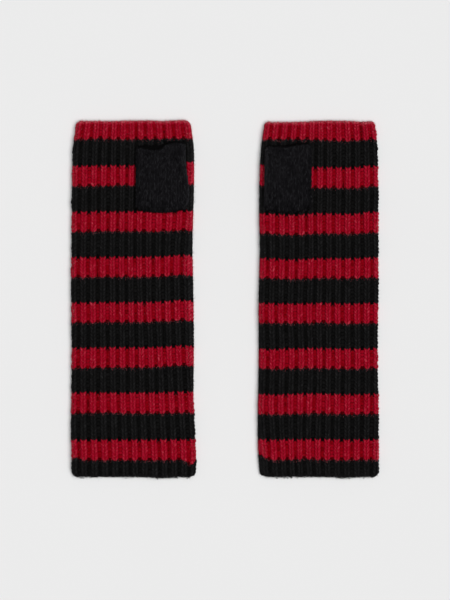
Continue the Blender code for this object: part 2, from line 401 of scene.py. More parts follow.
@dataclass(frozen=True)
class Lobe:
    """The closed leaf shape that a short stretch of yarn takes, with a pole at each end.

    Its rings are evenly spread from one pole to the other, and their size is the sine of the way along,
    raised to a power, which makes the leaf plump.
    """

    rings: int
    sides: int
    plumpness: float

    def along(self) -> Array:
        """How far along the leaf each of its points lies, from 0 to 1."""
        way = (np.arange(self.rings) + 0.6) / (self.rings + 0.2)
        return np.concatenate([[0.0], np.repeat(way, self.sides), [1.0]])

    def around(self) -> Array:
        """The angle of each of its points round the leaf's own axis."""
        turns = np.arange(self.sides) * (2 * math.pi / self.sides)
        return np.concatenate([[0.0], np.tile(turns, self.rings), [0.0]])

    def size(self) -> Array:
        """How far each of its points lies from the axis, as a part of the leaf's half width."""
        return np.clip(np.sin(math.pi * self.along()), 0.0, 1.0) ** self.plumpness * self._off_pole()

    def _off_pole(self) -> Array:
        """1 at the rings' points and 0 at the poles."""
        return np.concatenate([[0.0], np.ones(self.rings * self.sides), [0.0]])

    def faces(self, axis: Axis) -> tuple[Array, Array]:
        """The leaf's faces, pointing out.

        Args:
            axis: The way its yarn runs, which decides the order of the corners.

        Returns:
            The quads between the rings and the triangles at the poles.
        """
        quads = 1 + grid_faces(self.rings, self.sides, wrap_columns=True)
        ring = 1 + np.arange(self.sides)
        after = 1 + (np.arange(self.sides) + 1) % self.sides
        top = (self.rings - 1) * self.sides
        last = 1 + self.rings * self.sides
        bottom_fan = np.stack([np.zeros_like(ring), after, ring], axis=1)
        top_fan = np.stack([ring + top, after + top, np.full_like(ring, last)], axis=1)
        fans = np.concatenate([bottom_fan, top_fan])
        if axis is Axis.ALONG:
            return quads[:, ::-1], fans[:, ::-1]
        return quads, fans

    def yarn_corners(self, faces: tuple[Array, Array], length: float, girth: float) -> Array:
        """The yarn map at each corner of each face, with no seam inside a face.

        Args:
            faces: The quads and the triangles.
            length: The leaf's length in millimetres.
            girth: The way round it.

        Returns:
            One pair of numbers for each corner, along and round the yarn.
        """
        parts = []
        for group in faces:
            turn = self.around()[group] / (2 * math.pi)
            turn = np.where(turn.max(axis=1, keepdims=True) - turn > 0.5, turn + 1.0, turn)
            parts.append(np.stack([self.along()[group] * length, turn * girth], axis=-1).reshape(-1, 2))
        return np.concatenate(parts)

    def grids(self) -> tuple[Array, Array, Array]:
        """The way along, the angle round the axis and the size of its points, each as one row."""
        return self.along()[None], self.around()[None], self.size()[None]

    def copies(self, axis: Axis, points: Array, tone: Array, yarn: tuple[float, float],
               shift: Array) -> Surface:
        """Many leaves of this shape as one surface.

        Args:
            axis: The way their yarn runs.
            points: The points of each leaf.
            tone: How light each point is.
            yarn: A leaf's length and girth in millimetres.
            shift: How far each leaf's yarn map is moved.

        Returns:
            The surface.
        """
        count, size = points.shape[:2]
        quads, fans = self.faces(axis)
        corners = self.yarn_corners((quads, fans), *yarn)
        return Surface(
            points.reshape(-1, 3),
            repeated(quads, count, size),
            repeated(fans, count, size),
            tone=np.broadcast_to(tone, (count, size)).ravel(),
            yarn=np.concatenate([
                (part[None] + shift).reshape(-1, 2) for part in (corners[:quads.size], corners[quads.size:])
            ]),
        )


def repeated(faces: Array, copies: int, points: int) -> Array:
    """The faces of one shape, repeated for copies of it whose points follow each other."""
    return (faces[None] + (np.arange(copies) * points)[:, None, None]).reshape(-1, faces.shape[1])


def smoothstep(value: Array) -> Array:
    """0 below 0, 1 above 1, and an S between."""
    t = np.clip(value, 0.0, 1.0)
    return t * t * (3 - 2 * t)


def ridge(rib: Array) -> Array:
    """1 along the middle of each rib, 0 in the furrows, and a cosine between."""
    return 0.5 + 0.5 * np.cos(2 * math.pi * rib)


# The gloves' form


@dataclass(frozen=True)
class Width:
    """Where the flat glove's two edges lie at one height."""

    from_hem: float
    left: float  # edge's distance to the left of the centre line
    right: float


@dataclass(frozen=True)
class Sag:
    """A soft place where the rows of stitches lie lower or higher than they should."""

    rib: float  # where it is deepest, in ribs from the front's middle
    from_hem: float
    across: float  # its reach in ribs
    along: float  # and in millimetres
    drop: float  # towards the hem


@dataclass(frozen=True)
class Slide:
    """How far the ribs lie beside their even places at one height, in millimetres towards +X.

    The four numbers hold at an eighth, three eighths, five eighths and seven eighths of the width.
    """

    from_hem: float
    across: tuple[float, float, float, float]


@dataclass(frozen=True)
class GloveSizes:
    """What differs between the two gloves."""

    side: Side
    thumb_middle: float  # from the glove's centre line, +X
    thumb_half_width: float
    thumb_look: "ThumbLook"
    rib_shift: float  # how far the ribs have slid round the tube, in ribs
    widths: tuple[Width, ...]
    slides: tuple[Slide, ...]
    stripes: tuple[float, ...]  # each change of colour, from the hem
    sags: tuple[Sag, ...]
    seed: int

    def random(self, *keys: int) -> Random:
        """The source of one kind of loop's or hair's irregularity."""
        return np.random.default_rng([self.seed, *keys])


@dataclass(frozen=True)
class KnitSizes:
    """What the two gloves share."""

    length: float = 261.2
    fold_radius: float = 2.6  # of the outer surface's furrows at the side folds
    side_crest: float = 0.6
    rib_rise: float = 1.1
    ribs_across: float = 12.6
    front_ribs: int = 13
    back_ribs: int = 13
    wall: float = 2.2
    rim_inset: float = 0.75  # leaves room for the loops that lie over the rims
    thinned: float = 0.22  # how much flatter the glove lies at both rims
    thin_reach: float = 9.0
    back_overhang: float = 0.35  # how much further the back layer reaches at the finger end
    overhang_start: float = 14.0  # from the finger end
    overhang_reach: float = 12.0
    hem_corner: float = 4.4
    finger_corner: float = 4.2
    corner_reach: float = 12.0
    width_step: float = 6.0  # the table of widths is averaged over this far up and down
    fade_end: float = -0.7  # the normal's z at which the ribs are gone
    fade_start: float = 0.5  # and at which they start to die out
    sheen_reach: float = 3.6  # of the painted sheen at the finger end
    rim_sheen: float = 0.56
    side_sheen: float = 0.38
    hem_rows: int = 5
    red_rows: int = 6
    black_rows: int = 7
    stripe_pairs: int = 7

    @property
    def ribs(self) -> int:
        """How many ribs the tube has all round."""
        return self.front_ribs + self.back_ribs

    @property
    def crest_height(self) -> float:
        """How high the ribs' crests lie."""
        return 2 * self.fold_radius + self.rib_rise

    @property
    def edge_radius(self) -> float:
        """Of the half circle over which the wall's edge turns at both rims."""
        return self.wall / 2

    @property
    def low_turn(self) -> float:
        """The place from the hem where the wall starts to turn over the hem's edge."""
        return self.rim_inset + self.edge_radius

    @property
    def high_turn(self) -> float:
        """The place from the hem where it starts to turn over the finger end's edge."""
        return self.length - self.rim_inset - self.edge_radius

    def band_rows(self) -> list[int]:
        """How many rows of stitches each band has, hem first."""
        return [self.hem_rows, *[self.red_rows, self.black_rows] * self.stripe_pairs, self.red_rows]


@dataclass
class FlatTube:
    """One glove's flattened tube, as a surface of two parameters.

    The first is the place round the tube in ribs, 0 at the front's middle, growing towards +X, with a
    crest at each whole number; 6.5 is where the front ends at a side fold and 13 is the back's middle.
    The second is the place along the tube from the hem, which runs on over the wall's edge at both rims
    and back along its inside. A lift moves a point out along the surface's normal.
    """

    sizes: GloveSizes
    knit: KnitSizes = KnitSizes()

    def __post_init__(self) -> None:
        """Reads the tube's place from the frame and works out its rows."""
        side, bands = self.sizes.side.value, np.cumsum(self.knit.band_rows())
        low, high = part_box(f"{side}_thumb_tube")
        self.centre = (low.x + high.x) / 2 / MM - self.sizes.thumb_middle
        self.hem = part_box(f"{side}_glove_tube")[0].y / MM
        changes = [0.0, *self.sizes.stripes, self.knit.length]
        self.row_edges = np.interp(np.arange(bands[-1] + 1), [0, *bands], changes)
        band = np.searchsorted(bands, np.arange(bands[-1]), side="right")
        self.row_wool = np.where(band % 2 == 1, Wool.RED, Wool.BLACK)
        self.waves = np.random.default_rng(self.sizes.seed).uniform(0.0, 2 * math.pi, 4)

    @property
    def rows(self) -> int:
        """How many rows of stitches the glove has."""
        return len(self.row_wool)

    def wool_at(self, row: Array) -> Array:
        """The wool of each row number, also past both rims."""
        return self.row_wool[np.clip(row, 0, self.rows - 1)]

    def edges(self, from_hem: Array) -> tuple[Array, Array]:
        """The outline's edges: the table's widths, joined by straight lines and averaged over a short way
        up and down, so that no corner shows.

        Args:
            from_hem: The place along the glove.

        Returns:
            x of the left and of the right edge, from the centre line.
        """
        widths, step = self.sizes.widths, self.knit.width_step
        heights = [row.from_hem for row in widths]
        left, right = (
            sum(np.interp(from_hem + way, heights, [getattr(row, side) for row in widths])
                for way in (-step, 0.0, step)) / 3
            for side in ("left", "right")
        )
        return -left, right

    def section(self, rib: Array, from_hem: Array) -> tuple[Array, Array, Array, Array, Array, Array]:
        """The flattened section: straight front and back, joined by a half circle at each side.

        Args:
            rib: The place round the tube.
            from_hem: The place along it, between the rims.

        Returns:
            x and z of the bare surface, x and z of its normal, and the outline's left and right edge.
        """
        knit = self.knit
        left, right = self.edges(from_hem)
        width = right - left
        straight = width / 2 - knit.fold_radius - knit.side_crest
        pitch = width / knit.ribs_across
        front = knit.front_ribs / 2
        girth = 4 * straight + 2 * math.pi * knit.fold_radius
        back_pitch = (girth - knit.front_ribs * pitch) / knit.back_ribs
        side, way = np.sign(rib), np.abs(rib)
        arc = np.where(way <= front, way * pitch, front * pitch + (way - front) * back_pitch)
        turn = np.clip((arc - straight) / knit.fold_radius, 0.0, math.pi)
        beyond = np.maximum(arc - straight - math.pi * knit.fold_radius, 0.0)
        x = (left + right) / 2 + side * (
            np.minimum(arc, straight) + knit.fold_radius * np.sin(turn) - beyond
        )
        z = knit.fold_radius * (1 + np.cos(turn))
        return x, z, side * np.sin(turn), np.cos(turn), left, right

    def facing(self, rib: Array, from_hem: Array) -> Array:
        """The normal's z: 1 on the front, 0 at the side folds and -1 on the underside."""
        return self.section(rib + self.sizes.rib_shift, np.clip(from_hem, 0.0, self.knit.length))[3]

    def standing(self, up: Array) -> Array:
        """How fully the ribs stand up, given the normal's z: 1 on the front, dying out round the folds."""
        return np.clip((up - self.knit.fade_end) / (self.knit.fade_start - self.knit.fade_end), 0.0, 1.0)

    def fade(self, rib: Array, from_hem: Array) -> Array:
        """How fully the ribs stand up at a place of the tube."""
        return self.standing(self.facing(rib, from_hem))

    def painted_sheen(self, rib: Array, from_hem: Array) -> Array:
        """Painted sheen: how much paler the knit is painted where loose fibre stands off it against the
        light, over the last stretch before the finger end and the outer part of both side folds.

        Args:
            rib: The place round the tube.
            from_hem: The place along it.

        Returns:
            What its tone gains.
        """
        knit, up = self.knit, self.facing(rib, from_hem)
        rim = smoothstep((from_hem - (knit.length - knit.sheen_reach)) / 3.0)
        side = smoothstep((0.75 - up) / 0.75) * smoothstep((up + 0.9) / 0.5)
        return knit.rim_sheen * rim + knit.side_sheen * side * (1 - rim)

    def place(self, rib: Array, way: Array, lift: Array) -> Array:
        """Points of the tube.

        Past the last edge_radius before a rim, the way along turns over the wall's edge on a half circle
        and then runs back inside, where a lift counts inwards. The ribs flatten over the edge. The corners
        of the outline are circles: the closer to the rim, the more the outermost stretch is drawn in.

        Args:
            rib: The place round the tube, in ribs.
            way: The place along it.
            lift: The distance out from the bare surface.

        Returns:
            One point for each, as x, y and z in the last axis.
        """
        knit, radius = self.knit, self.knit.edge_radius
        rib, way, lift = np.broadcast_arrays(rib, way, lift)
        turn_out = np.clip((way - knit.high_turn) / radius, 0.0, math.pi)
        turn_in = np.clip((knit.low_turn - way) / radius, 0.0, math.pi)
        level = self.level(way)
        slid = rib + self.sizes.rib_shift + self.wander(rib, way)
        x, z, out_x, out_z, left, right = self.section(slid, level)
        edge = np.sin(turn_out) + np.sin(turn_in)
        arm = radius + lift - edge * self.relief(rib, out_z)
        offset = arm * np.cos(turn_out + turn_in) - radius
        y = level + arm * (np.sin(turn_out) - np.sin(turn_in)) - self.drop(rib, level)
        x, z = x + offset * out_x, z + offset * out_z
        across = x - (left + right) / 2
        drawn = np.zeros_like(x)
        for corner, back in ((knit.hem_corner, y - knit.rim_inset),
                             (knit.finger_corner, knit.length - knit.rim_inset - y)):
            part = 1 - np.clip(back / corner, 0.0, 1.0)
            drawn = drawn + corner * (1 - np.sqrt(1 - part * part))
        squeeze = np.maximum(1 - ((right - left) / 2 - np.abs(across)) / knit.corner_reach, 0.0) ** 2
        x = x - np.sign(across) * drawn * squeeze
        overhang = smoothstep((level - (knit.length - knit.overhang_start)) / knit.overhang_reach)
        y = y + overhang * knit.back_overhang * (1 - z / knit.crest_height)
        end = np.minimum(level, knit.length - level) / knit.thin_reach
        z = z * (1 - knit.thinned * smoothstep(1 - end))
        return np.stack([self.centre + x, self.hem + y, np.maximum(z, LOWEST)], axis=-1)

    def level(self, way: Array) -> Array:
        """The height above the hem of a place along the tube, also over the rims and inside."""
        knit = self.knit
        half_turn = math.pi * knit.edge_radius
        back = np.maximum(way - knit.high_turn - half_turn, 0.0)
        forth = np.maximum(knit.low_turn - way - half_turn, 0.0)
        return np.clip(way, knit.low_turn, knit.high_turn) - back + forth

    def relief(self, rib: Array, up: Array) -> Array:
        """How far a rib stands up at a place round the tube whose normal's z is given."""
        return self.knit.rib_rise * ridge(rib) * self.standing(up)

    def drop(self, rib: Array, from_hem: Array) -> Array:
        """How far the rows sag towards the hem: a soft bell round each of the glove's low places."""
        total = np.zeros(np.broadcast(rib, from_hem).shape)
        for sag in self.sizes.sags:
            off = ((rib - sag.rib) / sag.across) ** 2 + ((from_hem - sag.from_hem) / sag.along) ** 2
            total = total + sag.drop * np.exp(-off)
        return total

    def wander(self, rib: Array, from_hem: Array) -> Array:
        """How far the ribs stray sideways, in ribs: two slow waves along each, out of step with its
        neighbours."""
        a, b, c, d = self.waves
        slow = np.sin(from_hem / 31.0 + 0.9 * rib + a) * np.sin(from_hem / 83.0 + b)
        quick = np.sin(from_hem / 13.0 + 1.7 * rib + c) * np.sin(0.6 * rib + d)
        return 0.015 * slow + 0.02 * quick + self.slide(rib, from_hem) / RIB_PITCH

    def fullness(self, rib: Array, from_hem: Array) -> Array:
        """How full a furrow is at one height, from -1 to 1: waves along each, out of step with the next."""
        a, b, c, _ = self.waves
        return np.sin(from_hem / 9.0 + 2.4 * rib + b) * np.sin(from_hem / 41.0 - 1.7 * rib + c + a)

    def slide(self, rib: Array, from_hem: Array) -> Array:
        """How far the table has the ribs slid, on the front; it dies out down the side folds.

        Between the table's places the slide follows straight lines, along and across.

        Args:
            rib: The place round the tube.
            from_hem: The place along it.

        Returns:
            The distance in millimetres.
        """
        slides = self.sizes.slides
        heights = [row.from_hem for row in slides]
        columns = [np.interp(from_hem, heights, [row.across[k] for row in slides]) for k in range(4)]
        part = np.clip((rib / self.knit.ribs_across + 0.5) * 4 - 0.5, 0.0, 3.0)
        total = sum(np.maximum(1 - np.abs(part - k), 0.0) * column for k, column in enumerate(columns))
        return total * smoothstep((7.5 - np.abs(rib)) / 1.5)


@dataclass
class GloveShell:
    """The wall of one glove: outside, both rims and inside as one closed surface, with a slit for the thumb.

    It lies just under the stitches, which give the ribs their final form.
    """

    tube: FlatTube
    points_per_rib: int = 4
    rim_steps: int = 6
    inner_step: float = 9.0
    crest_sink: float = 0.76  # how deep under the ribs' final crest the wall lies
    furrow_sink: float = 0.68
    slit_from_hem: float = 196.8
    slit_gap: float = 0.8
    slit_side: float = 1.6  # how far inside the thumb tube's sides the slit ends

    def stations(self) -> tuple[Array, Array]:
        """The rings' places along the tube, from inside the hem, over the outside and back inside.

        Returns:
            The places, and the number of the ring just below the slit on the outside.
        """
        knit, rows = self.tube.knit, self.tube.row_edges
        half_turn = math.pi * knit.edge_radius
        slit = self.slit_from_hem + np.array([-0.5, 0.5]) * self.slit_gap
        outside = rows[(rows > knit.low_turn + 0.3) & (rows < knit.high_turn - 0.3)]
        outside = outside[np.abs(outside - self.slit_from_hem) > self.slit_gap]
        outside = np.sort(np.concatenate([outside, slit]))
        turns = np.linspace(0.0, half_turn, self.rim_steps)
        start = knit.high_turn + half_turn
        inner = start + np.arange(self.inner_step, knit.high_turn - knit.low_turn - 3.0, self.inner_step)
        mirrored = start + knit.high_turn - slit[::-1]
        inner = inner[np.abs(inner - mirrored.mean()) > 3.0]
        inner = np.sort(np.concatenate([inner, mirrored]))
        return (
            np.concatenate([knit.low_turn - half_turn + turns, outside, knit.high_turn + turns, inner]),
            self.rim_steps + int(np.searchsorted(outside, slit[0])),
        )

    def build(self, materials: list[bpy.types.Material]) -> bpy.types.Object:
        """Makes the wall as a grid that is closed both ways, opened at the slit.

        Args:
            materials: The red and the black wool.

        Returns:
            The piece.
        """
        tube, knit = self.tube, self.tube.knit
        way, below = self.stations()
        columns = knit.ribs * self.points_per_rib
        rib = (np.arange(columns) / columns - 0.5) * knit.ribs
        way_grid, rib_grid = np.meshgrid(way, rib, indexing="ij")
        fade = tube.fade(rib_grid, way_grid)
        crest = ridge(rib_grid)
        past = np.maximum(way_grid - knit.high_turn, knit.low_turn - way_grid)
        turned = np.clip(past / (math.pi * knit.edge_radius), 0, 1)
        top = knit.rib_rise * smoothstep(1.6 * crest - 0.2) * fade
        sink = self.furrow_sink + (self.crest_sink - self.furrow_sink) * crest
        lift = (top - sink) * (1 - turned)
        points = tube.place(rib_grid, way_grid, lift)
        quads = grid_faces(len(way), columns, wrap_rows=True, wrap_columns=True)
        ring, column = np.divmod(np.arange(len(quads)), columns)
        level = tube.level(way)
        middle = (level + np.roll(level, -1)) / 2
        row = np.interp(middle, tube.row_edges, np.arange(tube.rows + 1))[ring].astype(int)
        furrow = crest[0, column] + crest[0, (column + 1) % columns] < 1.01
        slots = np.where(furrow, np.maximum(tube.wool_at(row), tube.wool_at(row + 1)), tube.wool_at(row))
        keep, walls = self._slit(points, ring, column, way, below)
        # Painted shade: the wall is dark where it shows between the loops, a little lighter on the crests.
        tone = 0.27 + 0.1 * crest * fade
        yarn = np.stack([way_grid, rib_grid * 7.0], axis=-1).reshape(-1, 2)
        faces = np.concatenate([quads[keep], walls])
        surface = Surface(
            points.reshape(-1, 3), faces, tone=tone.ravel(),
            slots=np.concatenate([slots[keep], np.full(len(walls), Wool.RED)]),
            yarn=yarn[faces].reshape(-1, 2),
        )
        return surface.object(f"{tube.sizes.side.value}_glove_wall", materials)

    def _slit(self, points: Array, ring: Array, column: Array, way: Array,
              below: int) -> tuple[Array, Array]:
        """Opens the slit through the front layer.

        Args:
            points: The grid's points.
            ring: The ring that each face starts from.
            column: The column that each face starts from.
            way: The rings' places along the tube.
            below: The outer ring just below the slit.

        Returns:
            Which faces stay, and the new faces that line the slit.
        """
        tube, columns = self.tube, points.shape[1]
        inner_low = len(way) - 1 - int(np.argmin(np.abs(
            tube.level(way)[::-1] - (self.slit_from_hem - self.slit_gap / 2))))
        x = points[below, :, 0] - tube.centre - tube.sizes.thumb_middle
        front = points[below, :, 2] > tube.knit.fold_radius
        inside = np.flatnonzero(front & (np.abs(x) < tube.sizes.thumb_half_width - self.slit_side))
        first, last = inside.min(), inside.max()
        within = (column >= first) & (column < last)
        keep = ~(within & ((ring == below) | (ring == inner_low - 1)))
        run = np.arange(first, last + 1)
        outer_low, outer_high = below * columns + run, (below + 1) * columns + run
        hidden_low, hidden_high = inner_low * columns + run, (inner_low - 1) * columns + run
        walls = [
            np.stack([outer_low[:-1], outer_low[1:], hidden_low[1:], hidden_low[:-1]], axis=1)[:, ::-1],
            np.stack([outer_high[:-1], outer_high[1:], hidden_high[1:], hidden_high[:-1]], axis=1),
            np.array([[outer_low[0], outer_high[0], hidden_high[0], hidden_low[0]]]),
            np.array([[outer_low[-1], outer_high[-1], hidden_high[-1], hidden_low[-1]]])[:, ::-1],
        ]
        return keep, np.concatenate(walls)


# The stitches


@dataclass
class RibStitches:
    """Every loop of one glove's ribs: two leaning leaves for each knit loop, a bar for each purl loop.

    A leaf starts near the rib's middle, low and tucked in, swells out over the row above and ends at the
    rib's side under the next row's leaf. A bar lies across the furrow and dips under the ribs.
    """

    tube: FlatTube
    leaf: Lobe = Lobe(4, 6, 0.8)
    plain_leaf: Lobe = Lobe(2, 4, 0.7)
    bar: Lobe = Lobe(3, 6, 0.45)
    plain_bar: Lobe = Lobe(2, 4, 0.45)
    knot: Lobe = Lobe(2, 5, 0.6)
    knots_per_rib: int = 3
    foot: float = 0.50  # leaf's start, from the rib's middle
    head: float = 1.98  # and its end
    reach_below: float = 0.43  # how far it runs past its row, in rows
    reach_above: float = 0.40
    half_width: float = 1.08
    foot_spread: float = 0.05
    head_spread: float = 0.07
    width_spread: float = 0.07
    depth_spread: float = 0.05
    foot_tuck: float = 0.50  # how far its ends are tucked down, as a part of its thickness
    head_tuck: float = 0.60
    dome: float = 0.85  # how much lower a rib's flanks lie than its middle
    dome_from: float = 0.8
    dome_reach: float = 2.0
    leaf_tone: float = 0.42
    crown_highlight: float = 0.30  # painted highlight: what its crown gains
    end_shade: float = 0.22  # painted shade: how much less of that its ends have
    flank_shade: float = 0.12  # painted shade: what it loses on the rib's flanks
    front_depth: float = 0.82  # half its thickness on the front
    back_depth: float = 0.40  # and on the flat underside
    crest: float = 1.22  # how far its top stands above the furrow's floor in the frame's solid
    bar_drop: float = 0.40  # how many rows lower than the knit loops beside it a bar lies
    bar_held: float = 0.22  # how many rows less where red starts over black
    bar_half: float = 1.85
    bar_width: float = 1.55
    bar_depth: float = 0.32
    bar_bow: float = 0.35
    bar_ahead: float = 0.2
    bar_dip: float = 0.25
    full_rise: float = 0.18  # how far it stands out where its furrow is full
    # the bars' lightness, low for the painted shade in the furrows
    bar_tone: float = 0.235
    first_row_shade: float = 0.30  # painted shade: how much darker the first row of a colour is
    # painted light: how much lighter a bar is where its furrow is full
    full_furrow_light: float = 0.11
    slit_clear: float = 1.4
    leaf_yarn: tuple[float, float] = (4.6, 5.6)  # length and girth
    bar_yarn: tuple[float, float] = (3.5, 3.6)
    knot_yarn: tuple[float, float] = (1.6, 2.4)
    row_spread: float = 0.10  # how unevenly the leaves end, in millimetres
    rise_spread: float = 0.06  # and stand out
    end_spread: float = 0.30  # how unevenly they end at the finger end
    hem_spread: float = 0.50  # and at the hem
    knot_half: float = 0.65
    knot_out: float = -0.30  # how far the hem's knots stand out
    knot_spread: float = 0.50
    side_spread: float = 0.20  # and stand out round the side folds

    def build(self, materials: dict[Wool, bpy.types.Material]) -> list[bpy.types.Object]:
        """Makes the loops, one piece for each colour and kind of loop.

        Args:
            materials: The two wools.

        Returns:
            The pieces.
        """
        side = self.tube.sizes.side.value
        pieces = []
        for wool in Wool:
            name = wool.name.lower()
            loops = [self.knit_loops(wool, True), self.knit_loops(wool, False)]
            pieces.append(joined(loops).object(f"{side}_{name}_knit_loops", [materials[wool]]))
            bars = [self.purl_loops(wool, True), self.purl_loops(wool, False)]
            if wool is Wool.BLACK:
                bars.append(self.cast_on())
            pieces.append(joined(bars).object(f"{side}_{name}_purl_loops", [materials[wool]]))
        return pieces

    def cells(self, wool: Wool, ribs: Array, rows: Array) -> tuple[Array, Array]:
        """The loops of one colour, but for those that would lie across the thumb's slit.

        Args:
            wool: The colour.
            ribs: The wales' places round the tube.
            rows: The rows, which may run past both rims.

        Returns:
            The rib and the row of each loop.
        """
        tube = self.tube
        row, rib = (grid.ravel() for grid in np.meshgrid(rows, ribs, indexing="ij"))
        keep = (tube.wool_at(row) == wool) & ~self.beside_slit(rib, row)
        return rib[keep], row[keep]

    def along(self, row: Array) -> Array:
        """The place from the hem of a row number, running on evenly past both rims."""
        edges = self.tube.row_edges
        numbers = np.arange(len(edges))
        first, last = edges[1] - edges[0], edges[-1] - edges[-2]
        inside = np.interp(row, numbers, edges)
        return inside + np.minimum(row, 0.0) * first + np.maximum(row - numbers[-1], 0.0) * last

    def beside_slit(self, rib: Array, row: Array) -> Array:
        """Which loops would lie across the thumb's slit."""
        place = self.tube.place(rib, self.along(row + 0.5), 0.0)
        x = place[..., 0] - self.tube.centre - self.tube.sizes.thumb_middle
        y = place[..., 1] - self.tube.hem
        return (
            (np.abs(x) < self.tube.sizes.thumb_half_width - GloveShell.slit_side)
            & (np.abs(y - GloveShell.slit_from_hem) < self.slit_clear)
            & (place[..., 2] > self.tube.knit.fold_radius)
        )

    def knit_loops(self, wool: Wool, front: bool) -> Surface:
        """The leaves of all knit loops of one colour, on the front or on the underside.

        Args:
            wool: The colour.
            front: Whether they are the front's.

        Returns:
            The leaves as one surface.
        """
        knit, tube = self.tube.knit, self.tube
        half = knit.front_ribs // 2 + 1
        ribs = np.arange(-half, half + 1) if front else np.arange(half + 1, knit.ribs - half)
        ribs = np.where(ribs > knit.ribs // 2, ribs - knit.ribs, ribs).astype(float)
        rib, row = self.cells(wool, ribs, np.arange(-1, tube.rows + 1))
        random = tube.sizes.random(int(wool), int(front))
        leaf = self.leaf if front else self.plain_leaf
        return joined([self._leaves(leaf, rib, row, arm, random) for arm in (-1.0, 1.0)])

    def _leaves(self, leaf: Lobe, rib: Array, row: Array, arm: float, random: Random) -> Surface:
        """One side's leaves of the given loops.

        Args:
            leaf: The leaf's shape.
            rib: The rib of each loop.
            row: The row of each loop.
            arm: -1 for the left leaf and 1 for the right one.
            random: Where the loops' irregularity comes from.

        Returns:
            The leaves as one surface.
        """
        tube, count = self.tube, len(rib)
        t, turn, size = leaf.grids()
        low = self.along(row - self.reach_below)[:, None]
        high = self.along(row + 1 + self.reach_above)[:, None]
        stray = random.normal(size=(6, count, 1))
        spread = np.where(row < 1, self.hem_spread, self.row_spread)
        spread = np.where(row > tube.rows - 2, self.end_spread, spread)
        lengthwise = low + (high - low) * t + spread[:, None] * stray[0]
        foot, head = self.foot + self.foot_spread * stray[1], self.head + self.head_spread * stray[2]
        outward = foot + (head - foot) * (0.5 * t + 0.5 * smoothstep(t * 1.1))
        half_width = self.half_width * (1 + self.width_spread * stray[3])
        fade = tube.fade(rib[:, None], lengthwise)
        depth = self.back_depth + (self.front_depth - self.back_depth) * fade
        tuck = self.foot_tuck * (1 - smoothstep(2.6 * t)) + self.head_tuck * smoothstep(2.4 * t - 1.4)
        tuck = tuck * depth
        rough = np.where(np.abs(rib) > 5.5, self.side_spread, self.rise_spread)[:, None]
        crest = self.crest * fade - depth - tuck + rough * stray[4] * (0.3 + 0.7 * fade) - 0.02 * fade
        across = arm * outward + half_width * size * np.cos(turn)
        lift = crest + depth * size * np.sin(turn) * (1 + self.depth_spread * stray[5])
        slope = np.clip((np.abs(across) - self.dome_from) / self.dome_reach, 0.0, 1.0)
        lift = lift - self.dome * fade * slope**2
        place = rib[:, None] + across / RIB_PITCH
        points = tube.place(place, lengthwise, lift)
        # Painted light: a leaf is lighter on its crown, darker towards its ends and on the rib's flanks,
        # paler under the painted sheen, with a random spread.
        crown = np.maximum(size * np.sin(turn), 0.0)
        flank = np.clip(np.abs(across) / 2.8, 0, 1)
        shade = self.leaf_tone + (self.crown_highlight - self.end_shade * (2 * t - 1) ** 2) * crown
        shade = shade - self.flank_shade * flank**2
        tone = shade + 0.04 * stray[3] + tube.painted_sheen(place, lengthwise)
        shift = random.uniform(0, MAP_SHIFT, (count, 1, 2))
        return leaf.copies(Axis.ALONG, points, tone, self.leaf_yarn, shift)

    def purl_loops(self, wool: Wool, front: bool) -> Surface:
        """The bars of all purl loops of one colour, on the front or on the underside.

        A bar is thickest in the furrow's middle, bows a little towards the hem and dips at its ends. The
        first row of a colour gets painted shade, because it lies deep behind the row before it.

        Args:
            wool: The colour.
            front: Whether they are the front's.

        Returns:
            The bars as one surface.
        """
        knit, tube, bar = self.tube.knit, self.tube, self.bar if front else self.plain_bar
        whole = knit.ribs
        ribs = np.arange(whole) - whole / 2 + 0.5
        ribs = ribs[(np.abs(ribs) < 8.0) == front]
        rib, row = (cell[:, None] for cell in self.cells(wool, ribs, np.arange(-1, tube.rows + 2)))
        count = len(rib)
        random = tube.sizes.random(int(wool), 7 + int(front))
        stray = random.normal(size=(4, count, 1))
        t, turn, size = bar.grids()
        way = 2 * t - 1
        first = tube.wool_at(row - 1) != tube.wool_at(row)
        held = self.bar_held if wool is Wool.RED else 0.0
        middle = self.along(row + 0.5 - self.bar_drop + held * first + 0.05 * stray[0])
        lengthwise = middle - self.bar_bow * (1 - way**2) + self.bar_ahead
        lengthwise = lengthwise + self.bar_width * size * np.cos(turn)
        fade, full = tube.fade(rib, middle), tube.fullness(rib, middle)
        lift = (-self.bar_depth - self.bar_dip * way**2 - 0.05 * (1 - fade) + 0.05 * stray[1] - 0.05
                + self.bar_depth * size * np.sin(turn) + self.full_rise * full * fade)
        across = (self.bar_half * (1 + 0.05 * stray[2])) * way
        points = tube.place(rib + across / RIB_PITCH, lengthwise, lift)
        # Painted light: a bar is lighter on its crest and darker at its ends, in painted shade in a colour's
        # first row, lighter where its furrow is full and under the painted sheen, with a random spread.
        tone = self.bar_tone + 0.04 * size * np.sin(turn) - 0.05 * way**2 + 0.04 * stray[3]
        tone = tone - self.first_row_shade * first
        tone = tone + tube.painted_sheen(rib, middle) + self.full_furrow_light * full
        shift = random.uniform(0, MAP_SHIFT, (count, 1, 2))
        return bar.copies(Axis.ACROSS, points, tone, self.bar_yarn, shift)

